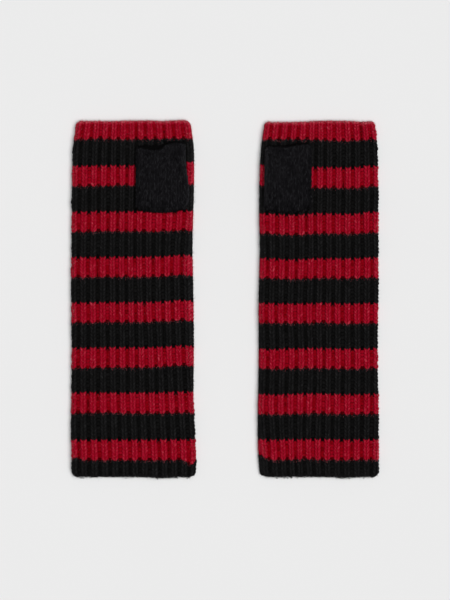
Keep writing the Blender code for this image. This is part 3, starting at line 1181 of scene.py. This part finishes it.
    def cast_on(self) -> Surface:
        """The small knots along the hem's edge, a few to a rib, each standing out by its own amount.

        Returns:
            The knots as one surface.
        """
        knit, tube = self.tube.knit, self.tube
        whole = knit.ribs
        count = whole * self.knots_per_rib
        stray = tube.sizes.random(70).normal(size=(4, count, 1))
        rib = (np.arange(count) / self.knots_per_rib - whole / 2)[:, None] + 0.07 * stray[0]
        t, turn, size = self.knot.grids()
        across = (self.knot_half + 0.15 * stray[1]) * (2 * t - 1)
        outermost = knit.low_turn - math.pi / 2 * knit.edge_radius
        way = outermost + 0.5 * size * np.cos(turn) + 0.2 * stray[2]
        raised = knit.rib_rise * ridge(rib) * tube.fade(rib, np.zeros_like(rib))
        lift = raised + self.knot_out + self.knot_spread * stray[3] + 0.45 * size * np.sin(turn)
        points = tube.place(rib + across / RIB_PITCH, way, lift)
        quads, fans = self.knot.faces(Axis.ACROSS)
        # Painted light: each knot is lighter on its crest, with a random spread.
        tone = np.broadcast_to(0.30 + 0.10 * size * np.sin(turn) + 0.05 * stray[1], (count, t.size))
        return Surface(
            points.reshape(-1, 3), repeated(quads, count, t.size), repeated(fans, count, t.size),
            tone=tone.ravel(),
            yarn=np.tile(self.knot.yarn_corners((quads, fans), *self.knot_yarn), (count, 1)),
        )


def joined(surfaces: list[Surface]) -> Surface:
    """Several surfaces as one.

    Args:
        surfaces: The surfaces; either all of them have a tone and a yarn map, or none.

    Returns:
        One surface, with the faces' maps in the order that Surface keeps.
    """
    starts = np.cumsum([0, *[len(s.points) for s in surfaces[:-1]]])
    made = Surface(
        np.concatenate([s.points for s in surfaces]),
        np.concatenate([s.quads + start for s, start in zip(surfaces, starts)]),
        np.concatenate([s.triangles + start for s, start in zip(surfaces, starts)]),
    )
    if surfaces[0].tone is not None:
        made.tone = np.concatenate([s.tone for s in surfaces])
        made.yarn = np.concatenate([
            *[s.yarn[:s.quads.size] for s in surfaces],
            *[s.yarn[s.quads.size:] for s in surfaces],
        ])
    return made


# The thumb tubes


@dataclass(frozen=True)
class ThumbLook:
    """How one thumb has been laid: its mouth gapes a little, and one side fold stands up as a roll."""

    dip: float  # how far the front layer's edge sags at the mouth
    dip_at: float  # where, from the thumb's middle
    dip_reach: float
    gape: float  # how far that edge stands off the back layer
    roll_side: float  # -1 for the left fold and 1 for the right one
    phase: float  # shifts the soft dents
    flare: float  # how far the roll's side spreads half way down
    rise: float  # how much further the mouth's right half reaches


@dataclass
class ThumbTube:
    """One thumb's short plain tube: it stands out of the slit, bends over and lies flat on the glove.

    The first parameter of its surface is the arc round the flattened section, in millimetres from the
    front's middle; the second is the way along the tube's middle surface from the slit to the mouth,
    which runs on over the wall's edge and back inside.
    """

    glove: FlatTube
    wall: float = 1.6
    gap: float = 0.8
    seat: float = 0.3
    bend: float = 2.2
    root: float = 195.4
    length: float = 46.0
    sag: float = 2.8
    sag_reach: float = 22.0
    settle_reach: float = 6.0  # over which the tube sinks down after its bend
    mouth_reach: float = 13.0  # over which it flattens towards its mouth
    edge_reach: float = 20.0  # over which its mouth's edge bows
    mouth_overhang: float = 1.0
    mouth_corner: float = 2.2
    mouth_flat: float = 0.52  # how much thinner the tube lies at its mouth, beside the gape
    wale: float = 1.95
    row: float = 1.60
    sink: float = 0.42
    leaf: Lobe = Lobe(2, 4, 0.5)
    leaf_yarn: tuple[float, float] = (2.0, 2.4)
    leaf_tone: float = 0.50
    # painted highlight on each loop's crown, and painted shade towards the root
    crown_highlight: float = 0.28
    root_shade: float = 0.25
    roll_highlight: float = 0.26  # painted highlight: how much paler the rolled side is
    flat_shade: float = 0.16  # painted shade: how much darker the other
    roll_height: float = 0.55
    groove_depth: float = 0.60
    hair_count: int = 1600
    hair_thickness: float = 0.042
    arc_points: int = 88

    def __post_init__(self) -> None:
        """Works out the section and the lengths."""
        self.radius = self.wall + self.gap / 2
        self.half_width = self.glove.sizes.thumb_half_width
        self.straight = self.half_width - self.radius
        self.half_girth = 2 * self.straight + math.pi * self.radius
        self.centre = self.glove.centre + self.glove.sizes.thumb_middle
        self.bent = self.bend * math.pi / 2
        self.reach = self.bent + self.length - self.radius - self.bend
        self.side = self.glove.sizes.side.value
        self.look = self.glove.sizes.thumb_look

    def near_mouth(self, level: Array, reach: float) -> Array:
        """0 further from the mouth than the reach, 1 at the mouth, and an S between."""
        return smoothstep((level - (self.reach - reach)) / reach)

    def place(self, arc: Array, way: Array, lift: Array) -> Array:
        """Points of the tube's surface.

        The middle surface rises out of the slit, turns forward on a quarter circle and runs level. The
        wall's edge at the mouth is a half circle, as on the glove's rims. Soft dents keep it from
        lying dead flat, and its lower edge bows towards the hem.

        Args:
            arc: The place round the section.
            way: The place along the tube.
            lift: The distance out from the bare surface.

        Returns:
            One point for each.
        """
        arc, way, lift = np.broadcast_arrays(arc, way, lift)
        edge = self.wall / 2
        end = self.reach - edge
        over = np.clip((way - end) / edge, 0.0, math.pi)
        inside = np.maximum(way - end - math.pi * edge, 0.0)
        level = np.minimum(way, end) - inside
        arm = edge + lift
        ahead = arm * np.sin(over)
        side = np.sign(arc)
        turn = np.clip((np.abs(arc) - self.straight) / self.radius, 0.0, math.pi)
        beyond = np.maximum(np.abs(arc) - self.straight - math.pi * self.radius, 0.0)
        radius = self.radius + (arm * np.cos(over) - edge)
        x = side * (np.minimum(np.abs(arc), self.straight) - beyond + radius * np.sin(turn))
        out = radius * np.cos(turn)
        lean = np.clip(level / self.bend, 0.0, math.pi / 2)
        forward = self.radius + self.bend * (1 - np.cos(lean)) + np.maximum(level - self.bent, 0.0)
        rest = self.glove.knit.crest_height + self.seat
        settle = smoothstep((level - self.bent) / self.settle_reach)
        height = rest + self.bend * np.sin(lean) - (self.bend - self.radius) * settle
        fade = np.maximum(1 - forward / self.sag_reach, 0.0)
        share = np.clip(x / self.half_width, -1.0, 1.0)
        bow = self.sag * fade * (1 - share**2)
        front = smoothstep(0.5 + 0.5 * out / self.radius)
        mouth = self.near_mouth(level, self.mouth_reach)
        at_edge = self.near_mouth(level, self.edge_reach)
        look = self.look
        dipping = np.exp(-(((x - look.dip_at) / look.dip_reach) ** 2))
        bell = dipping * front
        dip = look.dip * at_edge * bell
        back = self.mouth_overhang * (1 - front) * mouth
        round_off = self.mouth_corner * mouth * np.maximum(np.abs(share) - 0.8, 0.0) ** 2 / 0.04
        rise = look.rise * at_edge * smoothstep((x + 2.0) / 9.0)
        y = self.root + forward - out * np.cos(lean) + ahead - bow - dip + back - round_off + rise
        squash = 1 - self.mouth_flat * mouth * (1 - 0.7 * dipping)
        z = rest + (height - rest + out * np.sin(lean)) * squash
        z = z + self.dents(x, forward) * front * squash + look.gape * mouth * bell
        spread = look.flare * smoothstep(forward / 8.0) * smoothstep((38.0 - forward) / 24.0)
        x = x + look.roll_side * spread * smoothstep((look.roll_side * share - 0.2) / 0.8)
        return np.stack([self.centre + x, self.glove.hem + y, z], axis=-1)

    def dents(self, x: Array, forward: Array) -> Array:
        """Unevenness of the front layer: slow waves, gone at its edges, and a roll with a groove beside it
        along one side.

        Args:
            x: The place across, from the thumb's middle.
            forward: The place along, from its root.

        Returns:
            How far the layer is raised.
        """
        phase = self.look.phase
        waves = (
            0.30 * np.sin(x / 4.6 + forward / 8.0 + phase)
            + 0.22 * np.sin(x / 3.1 - forward / 5.5 + 2 * phase)
            + 0.16 * np.sin(forward / 3.3 + x / 7.0 + 3 * phase)
        )
        inner = smoothstep((self.half_width - np.abs(x)) / 4.0)
        across = self.look.roll_side * x
        roll = self.roll_height * np.exp(-(((across - self.half_width + 3.0) / 1.9) ** 2))
        groove = self.groove_depth * np.exp(-(((across - self.half_width + 6.4) / 1.0) ** 2))
        return (waves * inner + roll - groove) * smoothstep((forward - 3.0) / 8.0)

    def build(self, wool: bpy.types.Material, fibres: bpy.types.Material) -> list[bpy.types.Object]:
        """Makes the tube's wall, its loops and its hairs.

        Args:
            wool: The thumb's wool.
            fibres: Its hairs' material.

        Returns:
            The three pieces.
        """
        return [self.wall_piece(wool), self.loops(wool), self.hairs(fibres)]

    def hairs(self, material: bpy.types.Material) -> bpy.types.Object:
        """Short straight hairs scattered over the front, the side folds and the mouth's edge."""
        random = self.glove.sizes.random(60)
        reach = self.straight + self.radius * math.pi / 2
        arc = random.uniform(-reach, reach, self.hair_count)
        way = random.uniform(0.0, self.reach + 0.6, self.hair_count)
        root = self.place(arc, way, 0.1)
        direction = self.place(arc, way, 0.6) - root + 0.8 * random.normal(size=root.shape)
        direction /= np.linalg.norm(direction, axis=1, keepdims=True)
        tip = root + direction * random.uniform(0.5, 1.3, (self.hair_count, 1))
        return spikes(root, None, tip, self.hair_thickness).object(f"{self.side}_thumb_fibres", [material])

    def wall_piece(self, material: bpy.types.Material) -> bpy.types.Object:
        """The wall: outside, the mouth's edge and inside as one closed surface, joined at the slit's end.

        Args:
            material: The thumb's wool.

        Returns:
            The piece.
        """
        edge = self.wall / 2
        end = self.reach - edge
        outside = np.linspace(0.0, end, 40)
        turns = end + np.linspace(0.0, math.pi * edge, 6)[1:]
        inside = turns[-1] + np.linspace(0.0, end, 20)[1:]
        way = np.concatenate([outside, turns, inside])
        arc = (np.arange(self.arc_points) / self.arc_points - 0.5) * 2 * self.half_girth
        way_grid, arc_grid = np.meshgrid(way, arc, indexing="ij")
        lift = -self.sink * np.clip(1 - (way_grid - end) / edge, 0, 1)
        points = self.place(arc_grid, way_grid, lift)
        quads = grid_faces(len(way), len(arc), wrap_rows=True, wrap_columns=True)
        # Painted shade: the wall is darker inside the tube than outside.
        tone = 0.25 * smoothstep((end + edge - way_grid) / edge)
        yarn = np.stack([way_grid, arc_grid], axis=-1).reshape(-1, 2)
        surface = Surface(points.reshape(-1, 3), quads, tone=tone.ravel(), yarn=yarn[quads].reshape(-1, 2))
        return surface.object(f"{self.side}_thumb_wall", [material])

    def loops(self, material: bpy.types.Material) -> bpy.types.Object:
        """The fine V of each loop, on the front and round both side folds.

        Painted shade darkens it towards the root and along the flat side, and a painted highlight lies along
        the rolled one.

        Args:
            material: The thumb's wool.

        Returns:
            The piece.
        """
        random = self.glove.sizes.random(50)
        wales = int(round(2 * self.half_girth / self.wale))
        pitch = 2 * self.half_girth / wales
        shown = int((self.straight + 1.25 * math.pi / 2 * self.radius) / pitch)
        rows = int((self.reach + 1.0) / self.row) + 1
        row, wale = np.meshgrid(np.arange(rows), np.arange(-shown, shown + 1), indexing="ij")
        row, wale = row.ravel()[:, None], wale.ravel()[:, None] * pitch
        count = len(row)
        shade = random.normal(size=(count, 1))
        t, turn, size = self.leaf.grids()
        rolled = self.look.roll_side * wale
        # painted highlight along the rolled side, painted shade along the flat one
        pale = self.roll_highlight * smoothstep((rolled - self.straight + 0.8) / 1.5)
        shaded_side = self.flat_shade * smoothstep((-rolled - self.straight + 0.8) / 1.5)
        made = []
        for arm in (-1.0, 1.0):
            stray = random.normal(size=(5, count, 1))
            way = (row - 0.30 + 1.5 * t) * self.row + 0.08 * stray[0]
            across = arm * (0.16 + 0.50 * smoothstep(1.2 * t) + 0.05 * stray[1])
            across = across + (0.38 + 0.03 * stray[2]) * size * np.cos(turn)
            lift = -0.18 + 0.12 * stray[3] - 0.20 * (2 * t - 1) ** 2 + 0.40 * size * np.sin(turn)
            points = self.place(wale + across, way, lift)
            # Painted light: each loop is lighter on its crown and darker towards the root, with a random
            # spread.
            tone = self.leaf_tone + self.crown_highlight * size * np.sin(turn) + 0.17 * stray[4] + 0.10 * shade
            tone = tone - self.root_shade * (1 - smoothstep(way / 5.0)) + pale - shaded_side
            shift = random.uniform(0, MAP_SHIFT, (count, 1, 2))
            made.append(self.leaf.copies(Axis.ALONG, points, tone, self.leaf_yarn, shift))
        return joined(made).object(f"{self.side}_thumb_loops", [material])


# Loose fibres


@dataclass
class Fuzz:
    """Loose hairs of one colour on one glove: thin closed spikes, short and straight on the front and
    bent over where they stand out of its outline."""

    tube: FlatTube
    wool: Wool
    over_face: int = 6400  # hairs on the front
    at_sides: int = 1900  # and round each side fold
    at_rim: int = 1200  # and along the rim of that colour
    shortest: float = 0.5
    longest: float = 1.9
    thickness: float = 0.042
    straight: float = 1.25  # how many times that a straight hair is
    bent: float = 1.2  # and a bent one
    on_crests: float = 0.7  # the share that stands on the ribs' crests
    border_share: float = 0.36  # of the red ones on the face, how many hang over a stripe's lower edge
    border_lean: float = -1.6
    outward: float = 0.55  # how much a hair's way follows the surface's normal
    wild: float = 0.75  # and how much it is its own
    curl: float = 0.35
    half_way: float = 0.55  # where a bent hair bends, and how much of its length a straight one has

    def roots(self, random: Random) -> tuple[Array, Array, Array, Array]:
        """Where the hairs start.

        Args:
            random: Where their scatter comes from.

        Returns:
            Their places round and along the tube, how far along they lean out over a rim or an edge, and
            how much of their length the straight ones have.
        """
        knit, tube = self.tube.knit, self.tube
        face = random.uniform(-6.3, 6.3, self.over_face)
        sides = random.uniform(5.9, 7.4, 2 * self.at_sides) * np.repeat([-1.0, 1.0], self.at_sides)
        rib = np.concatenate([face, sides])
        crests = np.round(rib) + random.normal(0.0, 0.17, len(rib))
        rib = np.where(random.uniform(size=len(rib)) < self.on_crests, crests, rib)
        rows = np.flatnonzero(tube.row_wool == self.wool)
        row = rows[random.integers(0, len(rows), len(rib))] + random.uniform(0.0, 1.0, len(rib))
        lowest = rows[np.concatenate([[True], np.diff(rows) > 1])]
        at_edge = random.uniform(size=len(rib)) < (self.border_share if self.wool is Wool.RED else 0.0)
        at_edge &= np.arange(len(rib)) < self.over_face
        edge = lowest[random.integers(0, len(lowest), len(rib))] + random.uniform(-0.6, 0.1, len(rib))
        row = np.where(at_edge, edge, row)
        way = np.interp(row, np.arange(tube.rows + 1), tube.row_edges)
        rim_rib = random.uniform(-6.2, 6.2, self.at_rim)
        inward = random.uniform(-0.6, 2.6, self.at_rim)
        rim_way, rim_lean = (knit.length - inward, 1.0) if self.wool is Wool.RED else (inward, -1.0)
        lean = np.concatenate([np.where(at_edge, self.border_lean, 0.0), np.full(self.at_rim, rim_lean)])
        reach = np.concatenate([np.where(at_edge, 1.0, self.half_way), np.full(self.at_rim, self.half_way)])
        return np.concatenate([rib, rim_rib]), np.concatenate([way, rim_way]), lean, reach

    def build(self, material: bpy.types.Material) -> bpy.types.Object:
        """Makes all the hairs as one piece.

        Args:
            material: The hairs' material.

        Returns:
            The piece.
        """
        random = self.tube.sizes.random(int(self.wool), 90)
        rib, way, lean, reach = self.roots(random)
        count = len(rib)
        lift = (ridge(rib) - 0.25) * self.tube.fade(rib, way)
        root = self.tube.place(rib, way, lift)
        out = (self.tube.place(rib, way, lift + 0.5) - root) / 0.5
        out[:, 1] += lean
        direction = self.outward * out + self.wild * random.normal(size=(count, 3))
        direction[:, 2] = np.where(root[:, 2] < 2.0, np.abs(direction[:, 2]) * 0.5, direction[:, 2])
        direction /= np.linalg.norm(direction, axis=1, keepdims=True)
        length = random.uniform(self.shortest, self.longest, (count, 1))
        curl = random.normal(size=(count, 3)) * self.curl
        middle = root + direction * length * reach[:, None]
        tip = root + (direction + curl) * length
        cut = self.over_face
        hairs = [
            spikes(root[:cut], None, middle[:cut], self.straight * self.thickness),
            spikes(root[cut:], middle[cut:], tip[cut:], self.bent * self.thickness),
        ]
        return joined(hairs).object(
            f"{self.tube.sizes.side.value}_{self.wool.name.lower()}_fibres", [material])


def spikes(root: Array, middle: Array | None, tip: Array, thickness: float) -> Surface:
    """Closed three-sided spikes.

    Args:
        root: Each spike's start.
        middle: A point half way, for spikes that bend, or nothing for straight ones.
        tip: Its end.
        thickness: The radius of the triangle at its root; half way it is 0.7 of that.

    Returns:
        All of them as one surface, no lower than the floor.
    """
    forward = (tip if middle is None else middle) - root
    forward /= np.linalg.norm(forward, axis=1, keepdims=True)
    helper = np.where(np.abs(forward[:, :1]) < 0.7, [[1.0, 0.0, 0.0]], [[0.0, 1.0, 0.0]])
    one = np.cross(forward, helper)
    one /= np.linalg.norm(one, axis=1, keepdims=True)
    two = np.cross(forward, one)
    turns = (np.arange(3) * (2 * math.pi / 3))[None, :, None]
    ring = (one[:, None] * np.cos(turns) + two[:, None] * np.sin(turns)) * thickness
    if middle is None:
        points = np.concatenate([root[:, None] + ring, tip[:, None]], axis=1)
        quads = np.zeros((0, 4), int)
        fans = np.array([[2, 1, 0], [0, 1, 3], [1, 2, 3], [2, 0, 3]])
    else:
        points = np.concatenate([root[:, None] + ring, middle[:, None] + 0.7 * ring, tip[:, None]], axis=1)
        quads = np.array([[0, 1, 4, 3], [1, 2, 5, 4], [2, 0, 3, 5]])
        fans = np.array([[2, 1, 0], [3, 4, 6], [4, 5, 6], [5, 3, 6]])
    points[..., 2] = np.maximum(points[..., 2], LOWEST)
    count, size = len(root), points.shape[1]
    return Surface(points.reshape(-1, 3), repeated(quads, count, size), repeated(fans, count, size))


# The studio


@dataclass(frozen=True)
class Studio:
    """A pale floor, a broad soft light from the right, an even fill and a camera straight above."""

    floor_size: float = 14.0
    eye_height: float = 2.0
    view_height: float = 0.438  # what the picture shows of the gloves' plane, top to bottom
    view_centre: tuple[float, float] = (0.0003, -0.00125)
    sensor: float = 36.0
    sun_strength: float = 2.81
    sun_tilt: float = 16.0  # from straight up, in degrees
    sun_heading: float = -14.0  # from +X towards +Y
    sun_spread: float = 50.0
    fill_strength: float = 0.164

    def build(self) -> None:
        """Makes the floor, the lights and the camera."""
        half = self.floor_size / 2 / MM
        corners = np.array([[-half, -half, 0.0], [half, -half, 0.0], [half, half, 0.0], [-half, half, 0.0]])
        floor = Surface(corners, np.array([[0, 1, 2, 3]])).object("floor", [PALE_FLOOR.material()])
        scene = bpy.context.scene
        world = bpy.data.worlds.new("even light")
        world.use_nodes = True
        fill = world.node_tree.nodes["Background"].inputs
        fill["Color"].default_value = (1.0, 1.0, 1.0, 1.0)
        fill["Strength"].default_value = self.fill_strength
        scene.world = world
        sun = bpy.data.lights.new("soft key light", "SUN")
        sun.energy = self.sun_strength
        sun.angle = math.radians(self.sun_spread)
        lamp = bpy.data.objects.new("soft key light", sun)
        lamp.rotation_euler = (0.0, math.radians(self.sun_tilt), math.radians(self.sun_heading))
        scene.collection.objects.link(lamp)
        camera = bpy.data.cameras.new("camera")
        camera.sensor_fit = "VERTICAL"
        camera.sensor_height = self.sensor
        camera.lens = self.sensor * self.eye_height / self.view_height
        eye = bpy.data.objects.new("camera", camera)
        eye.location = (*self.view_centre, self.eye_height)
        scene.collection.objects.link(eye)
        scene.camera = eye
        scene.view_settings.view_transform = "Standard"


# The two gloves

LEFT_GLOVE = GloveSizes(
    side=Side.LEFT,
    thumb_middle=20.8,
    thumb_half_width=18.1,
    thumb_look=ThumbLook(
        dip=3.2, dip_at=-3.6, dip_reach=9.5, gape=1.3, roll_side=1.0, phase=0.6, flare=2.6, rise=3.0
    ),
    rib_shift=0.0,
    widths=(
        Width(0.0, 44.8, 46.6), Width(9.3, 44.8, 46.6), Width(34.8, 44.95, 46.0), Width(56.7, 44.3, 45.3),
        Width(93.2, 44.2, 45.9), Width(129.7, 44.65, 45.5), Width(166.2, 44.5, 44.7),
        Width(202.7, 44.45, 45.7), Width(231.9, 44.15, 46.2), Width(246.5, 43.3, 45.4),
        Width(257.8, 41.2, 43.2), Width(261.1, 41.0, 43.0),
    ),
    slides=(
        Slide(20.0, (0.3, 1.4, 0.9, 0.6)), Slide(54.0, (-0.8, 0.1, -0.3, -0.4)),
        Slide(88.0, (-0.9, -0.6, -1.4, -2.6)), Slide(120.0, (-0.3, -0.6, -2.3, -3.4)),
        Slide(153.0, (-0.4, -0.7, -2.3, -3.6)), Slide(187.0, (0.0, -0.3, -2.7, -1.8)),
        Slide(221.0, (0.3, -0.6, -2.0, -1.8)),
    ),
    stripes=(
        13.3, 28.1, 47.3, 62.4, 80.7, 95.3, 113.7, 128.2,
        146.7, 161.2, 179.6, 194.2, 213.0, 227.7, 247.0,
    ),
    sags=(
        Sag(5.6, 130.0, 2.2, 85.0, -1.1), Sag(2.6, 0.0, 1.6, 7.0, 1.0), Sag(5.65, 13.0, 0.4, 8.0, 4.0),
        Sag(6.9, 13.0, 0.5, 8.0, -3.0), Sag(-5.5, 120.0, 1.8, 120.0, 0.5),
        Sag(-6.0, 13.0, 0.8, 8.0, -2.0), Sag(-4.8, 54.0, 1.6, 16.0, -0.7),
        Sag(-3.0, 180.0, 2.4, 9.0, -0.5), Sag(4.5, 82.0, 2.0, 10.0, -0.7),
        Sag(-2.5, 261.0, 1.6, 8.0, 0.5), Sag(3.3, 261.0, 1.0, 8.0, 0.5), Sag(-8.0, 261.0, 2.5, 8.0, 0.6),
        Sag(-10.5, 261.0, 1.6, 8.0, 0.5), Sag(9.7, 261.0, 1.0, 8.0, 0.5),
        Sag(-3.6, 248.0, 0.6, 5.0, -0.6), Sag(4.0, 248.0, 1.8, 6.0, -0.4),
        Sag(6.2, 226.0, 1.2, 13.0, -2.4), Sag(-1.1, 213.0, 0.9, 6.0, -0.6),
        Sag(1.2, 180.0, 1.4, 6.0, -0.3), Sag(5.4, 130.0, 0.6, 60.0, -0.5),
        Sag(-5.6, 130.0, 0.6, 60.0, -0.3), Sag(2.9, 114.0, 0.8, 6.0, -0.5),
        Sag(-2.6, 48.0, 1.3, 6.0, -0.5),
    ),
    seed=11,
)

RIGHT_GLOVE = GloveSizes(
    side=Side.RIGHT,
    thumb_middle=-22.1,
    thumb_half_width=17.0,
    thumb_look=ThumbLook(
        dip=1.0, dip_at=4.0, dip_reach=8.0, gape=0.6, roll_side=-1.0, phase=2.3, flare=0.3, rise=1.8
    ),
    rib_shift=0.16,
    widths=(
        Width(0.0, 42.9, 44.85), Width(6.0, 44.3, 44.85), Width(34.8, 45.0, 44.6),
        Width(56.7, 44.6, 43.9), Width(93.2, 44.1, 43.2), Width(129.7, 44.2, 43.8),
        Width(166.2, 43.3, 44.1), Width(202.7, 43.8, 44.1), Width(231.9, 43.0, 43.4),
        Width(246.5, 41.8, 43.2), Width(257.8, 39.8, 41.5), Width(261.1, 39.6, 41.3),
    ),
    slides=(
        Slide(20.0, (2.0, -1.2, -2.2, -1.8)), Slide(54.0, (-0.4, -0.1, -1.2, -0.7)),
        Slide(88.0, (0.7, 0.9, -0.5, 0.1)), Slide(120.0, (-0.6, -0.4, -1.2, -0.4)),
        Slide(153.0, (-0.1, -0.1, -0.7, -0.7)), Slide(187.0, (-0.3, 0.1, -1.1, -1.2)),
        Slide(221.0, (-0.3, 0.0, -0.2, -0.5)),
    ),
    stripes=(
        13.7, 28.4, 47.1, 61.5, 80.2, 94.7, 113.2, 127.6,
        145.9, 160.3, 178.4, 192.8, 211.7, 226.5, 246.6,
    ),
    sags=(
        Sag(-2.8, 178.0, 2.0, 52.0, 1.2), Sag(3.2, 130.0, 1.8, 140.0, 0.6),
        Sag(-6.6, 13.0, 0.7, 9.0, -4.0), Sag(-4.5, 60.0, 1.5, 40.0, 0.7),
        Sag(-3.3, 261.0, 3.1, 8.0, 0.95), Sag(5.3, 261.0, 1.3, 8.0, 1.2), Sag(2.2, 246.0, 1.8, 9.0, 0.6),
        Sag(-3.2, 245.0, 2.4, 6.0, -0.7), Sag(6.0, 205.0, 1.3, 35.0, -1.2),
        Sag(4.5, 155.0, 2.2, 20.0, -0.5), Sag(2.5, 0.0, 1.2, 6.0, 0.6), Sag(-9.3, 261.0, 3.5, 8.0, 1.8),
        Sag(8.3, 261.0, 1.5, 8.0, 0.75), Sag(-6.1, 219.0, 1.1, 14.0, -2.6),
        Sag(4.9, 226.0, 0.8, 6.0, -0.7), Sag(5.0, 192.0, 0.8, 6.0, -0.5),
        Sag(-0.4, 192.0, 0.6, 5.0, -0.5), Sag(0.1, 113.0, 0.9, 6.0, -0.5), Sag(-5.2, 94.0, 0.8, 6.0, 0.6),
        Sag(-0.2, 54.0, 0.8, 10.0, -0.6), Sag(-1.3, 13.5, 0.7, 5.0, -0.8),
    ),
    seed=29,
)


@dataclass
class Glove:
    """One whole glove: its wall, its loops, its thumb and its fuzz, joined to the frame."""

    sizes: GloveSizes
    wools: dict[Wool, bpy.types.Material]
    fibres: dict[Wool, bpy.types.Material]
    thumb_wool: bpy.types.Material

    def build(self) -> None:
        side = self.sizes.side.value
        tube = FlatTube(self.sizes)
        wall = GloveShell(tube).build([self.wools[Wool.RED], self.wools[Wool.BLACK]])
        loops = RibStitches(tube).build(self.wools)
        fuzz = [Fuzz(tube, wool).build(self.fibres[wool]) for wool in Wool]
        thumb = ThumbTube(tube)
        thumb_wall, thumb_loops, thumb_hairs = thumb.build(self.thumb_wool, self.fibres[Wool.BLACK])
        for piece in (wall, *loops, *fuzz):
            self.settle(piece, RIB_SLOT)
        for piece in (thumb_wall, thumb_loops, thumb_hairs):
            self.settle(piece, THUMB_SLOT)
        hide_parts(f"{side}_glove_tube")
        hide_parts(f"{side}_thumb_tube")
        left, right = tube.edges(np.array([tube.knit.length / 2]))
        girth = 2 * float(right[0] - left[0]) * MM
        2 * thumb.half_girth * MM

    def settle(self, piece: bpy.types.Object, slot: str) -> None:
        """Fixes a piece to the pair's body and reports its triangles.

        Args:
            piece: The piece.
            slot: Not used.
        """
        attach(piece, BODY)
        triangles = sum(len(face.vertices) - 2 for face in piece.data.polygons)
        log.info("%s: %d triangles", piece.name, triangles)


def main() -> None:
    """Builds the studio and the two gloves."""
    logging.basicConfig(level=logging.INFO, format="%(message)s")
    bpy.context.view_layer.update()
    Studio().build()
    wools = {Wool.RED: RED_WOOL.material(), Wool.BLACK: BLACK_WOOL.material()}
    fibres = {Wool.RED: RED_FIBRE.material(), Wool.BLACK: BLACK_FIBRE.material()}
    thumb_wool = THUMB_WOOL.material()
    for sizes in (LEFT_GLOVE, RIGHT_GLOVE):
        Glove(sizes, wools, fibres, thumb_wool).build()


if __name__ == "__main__":
    main()
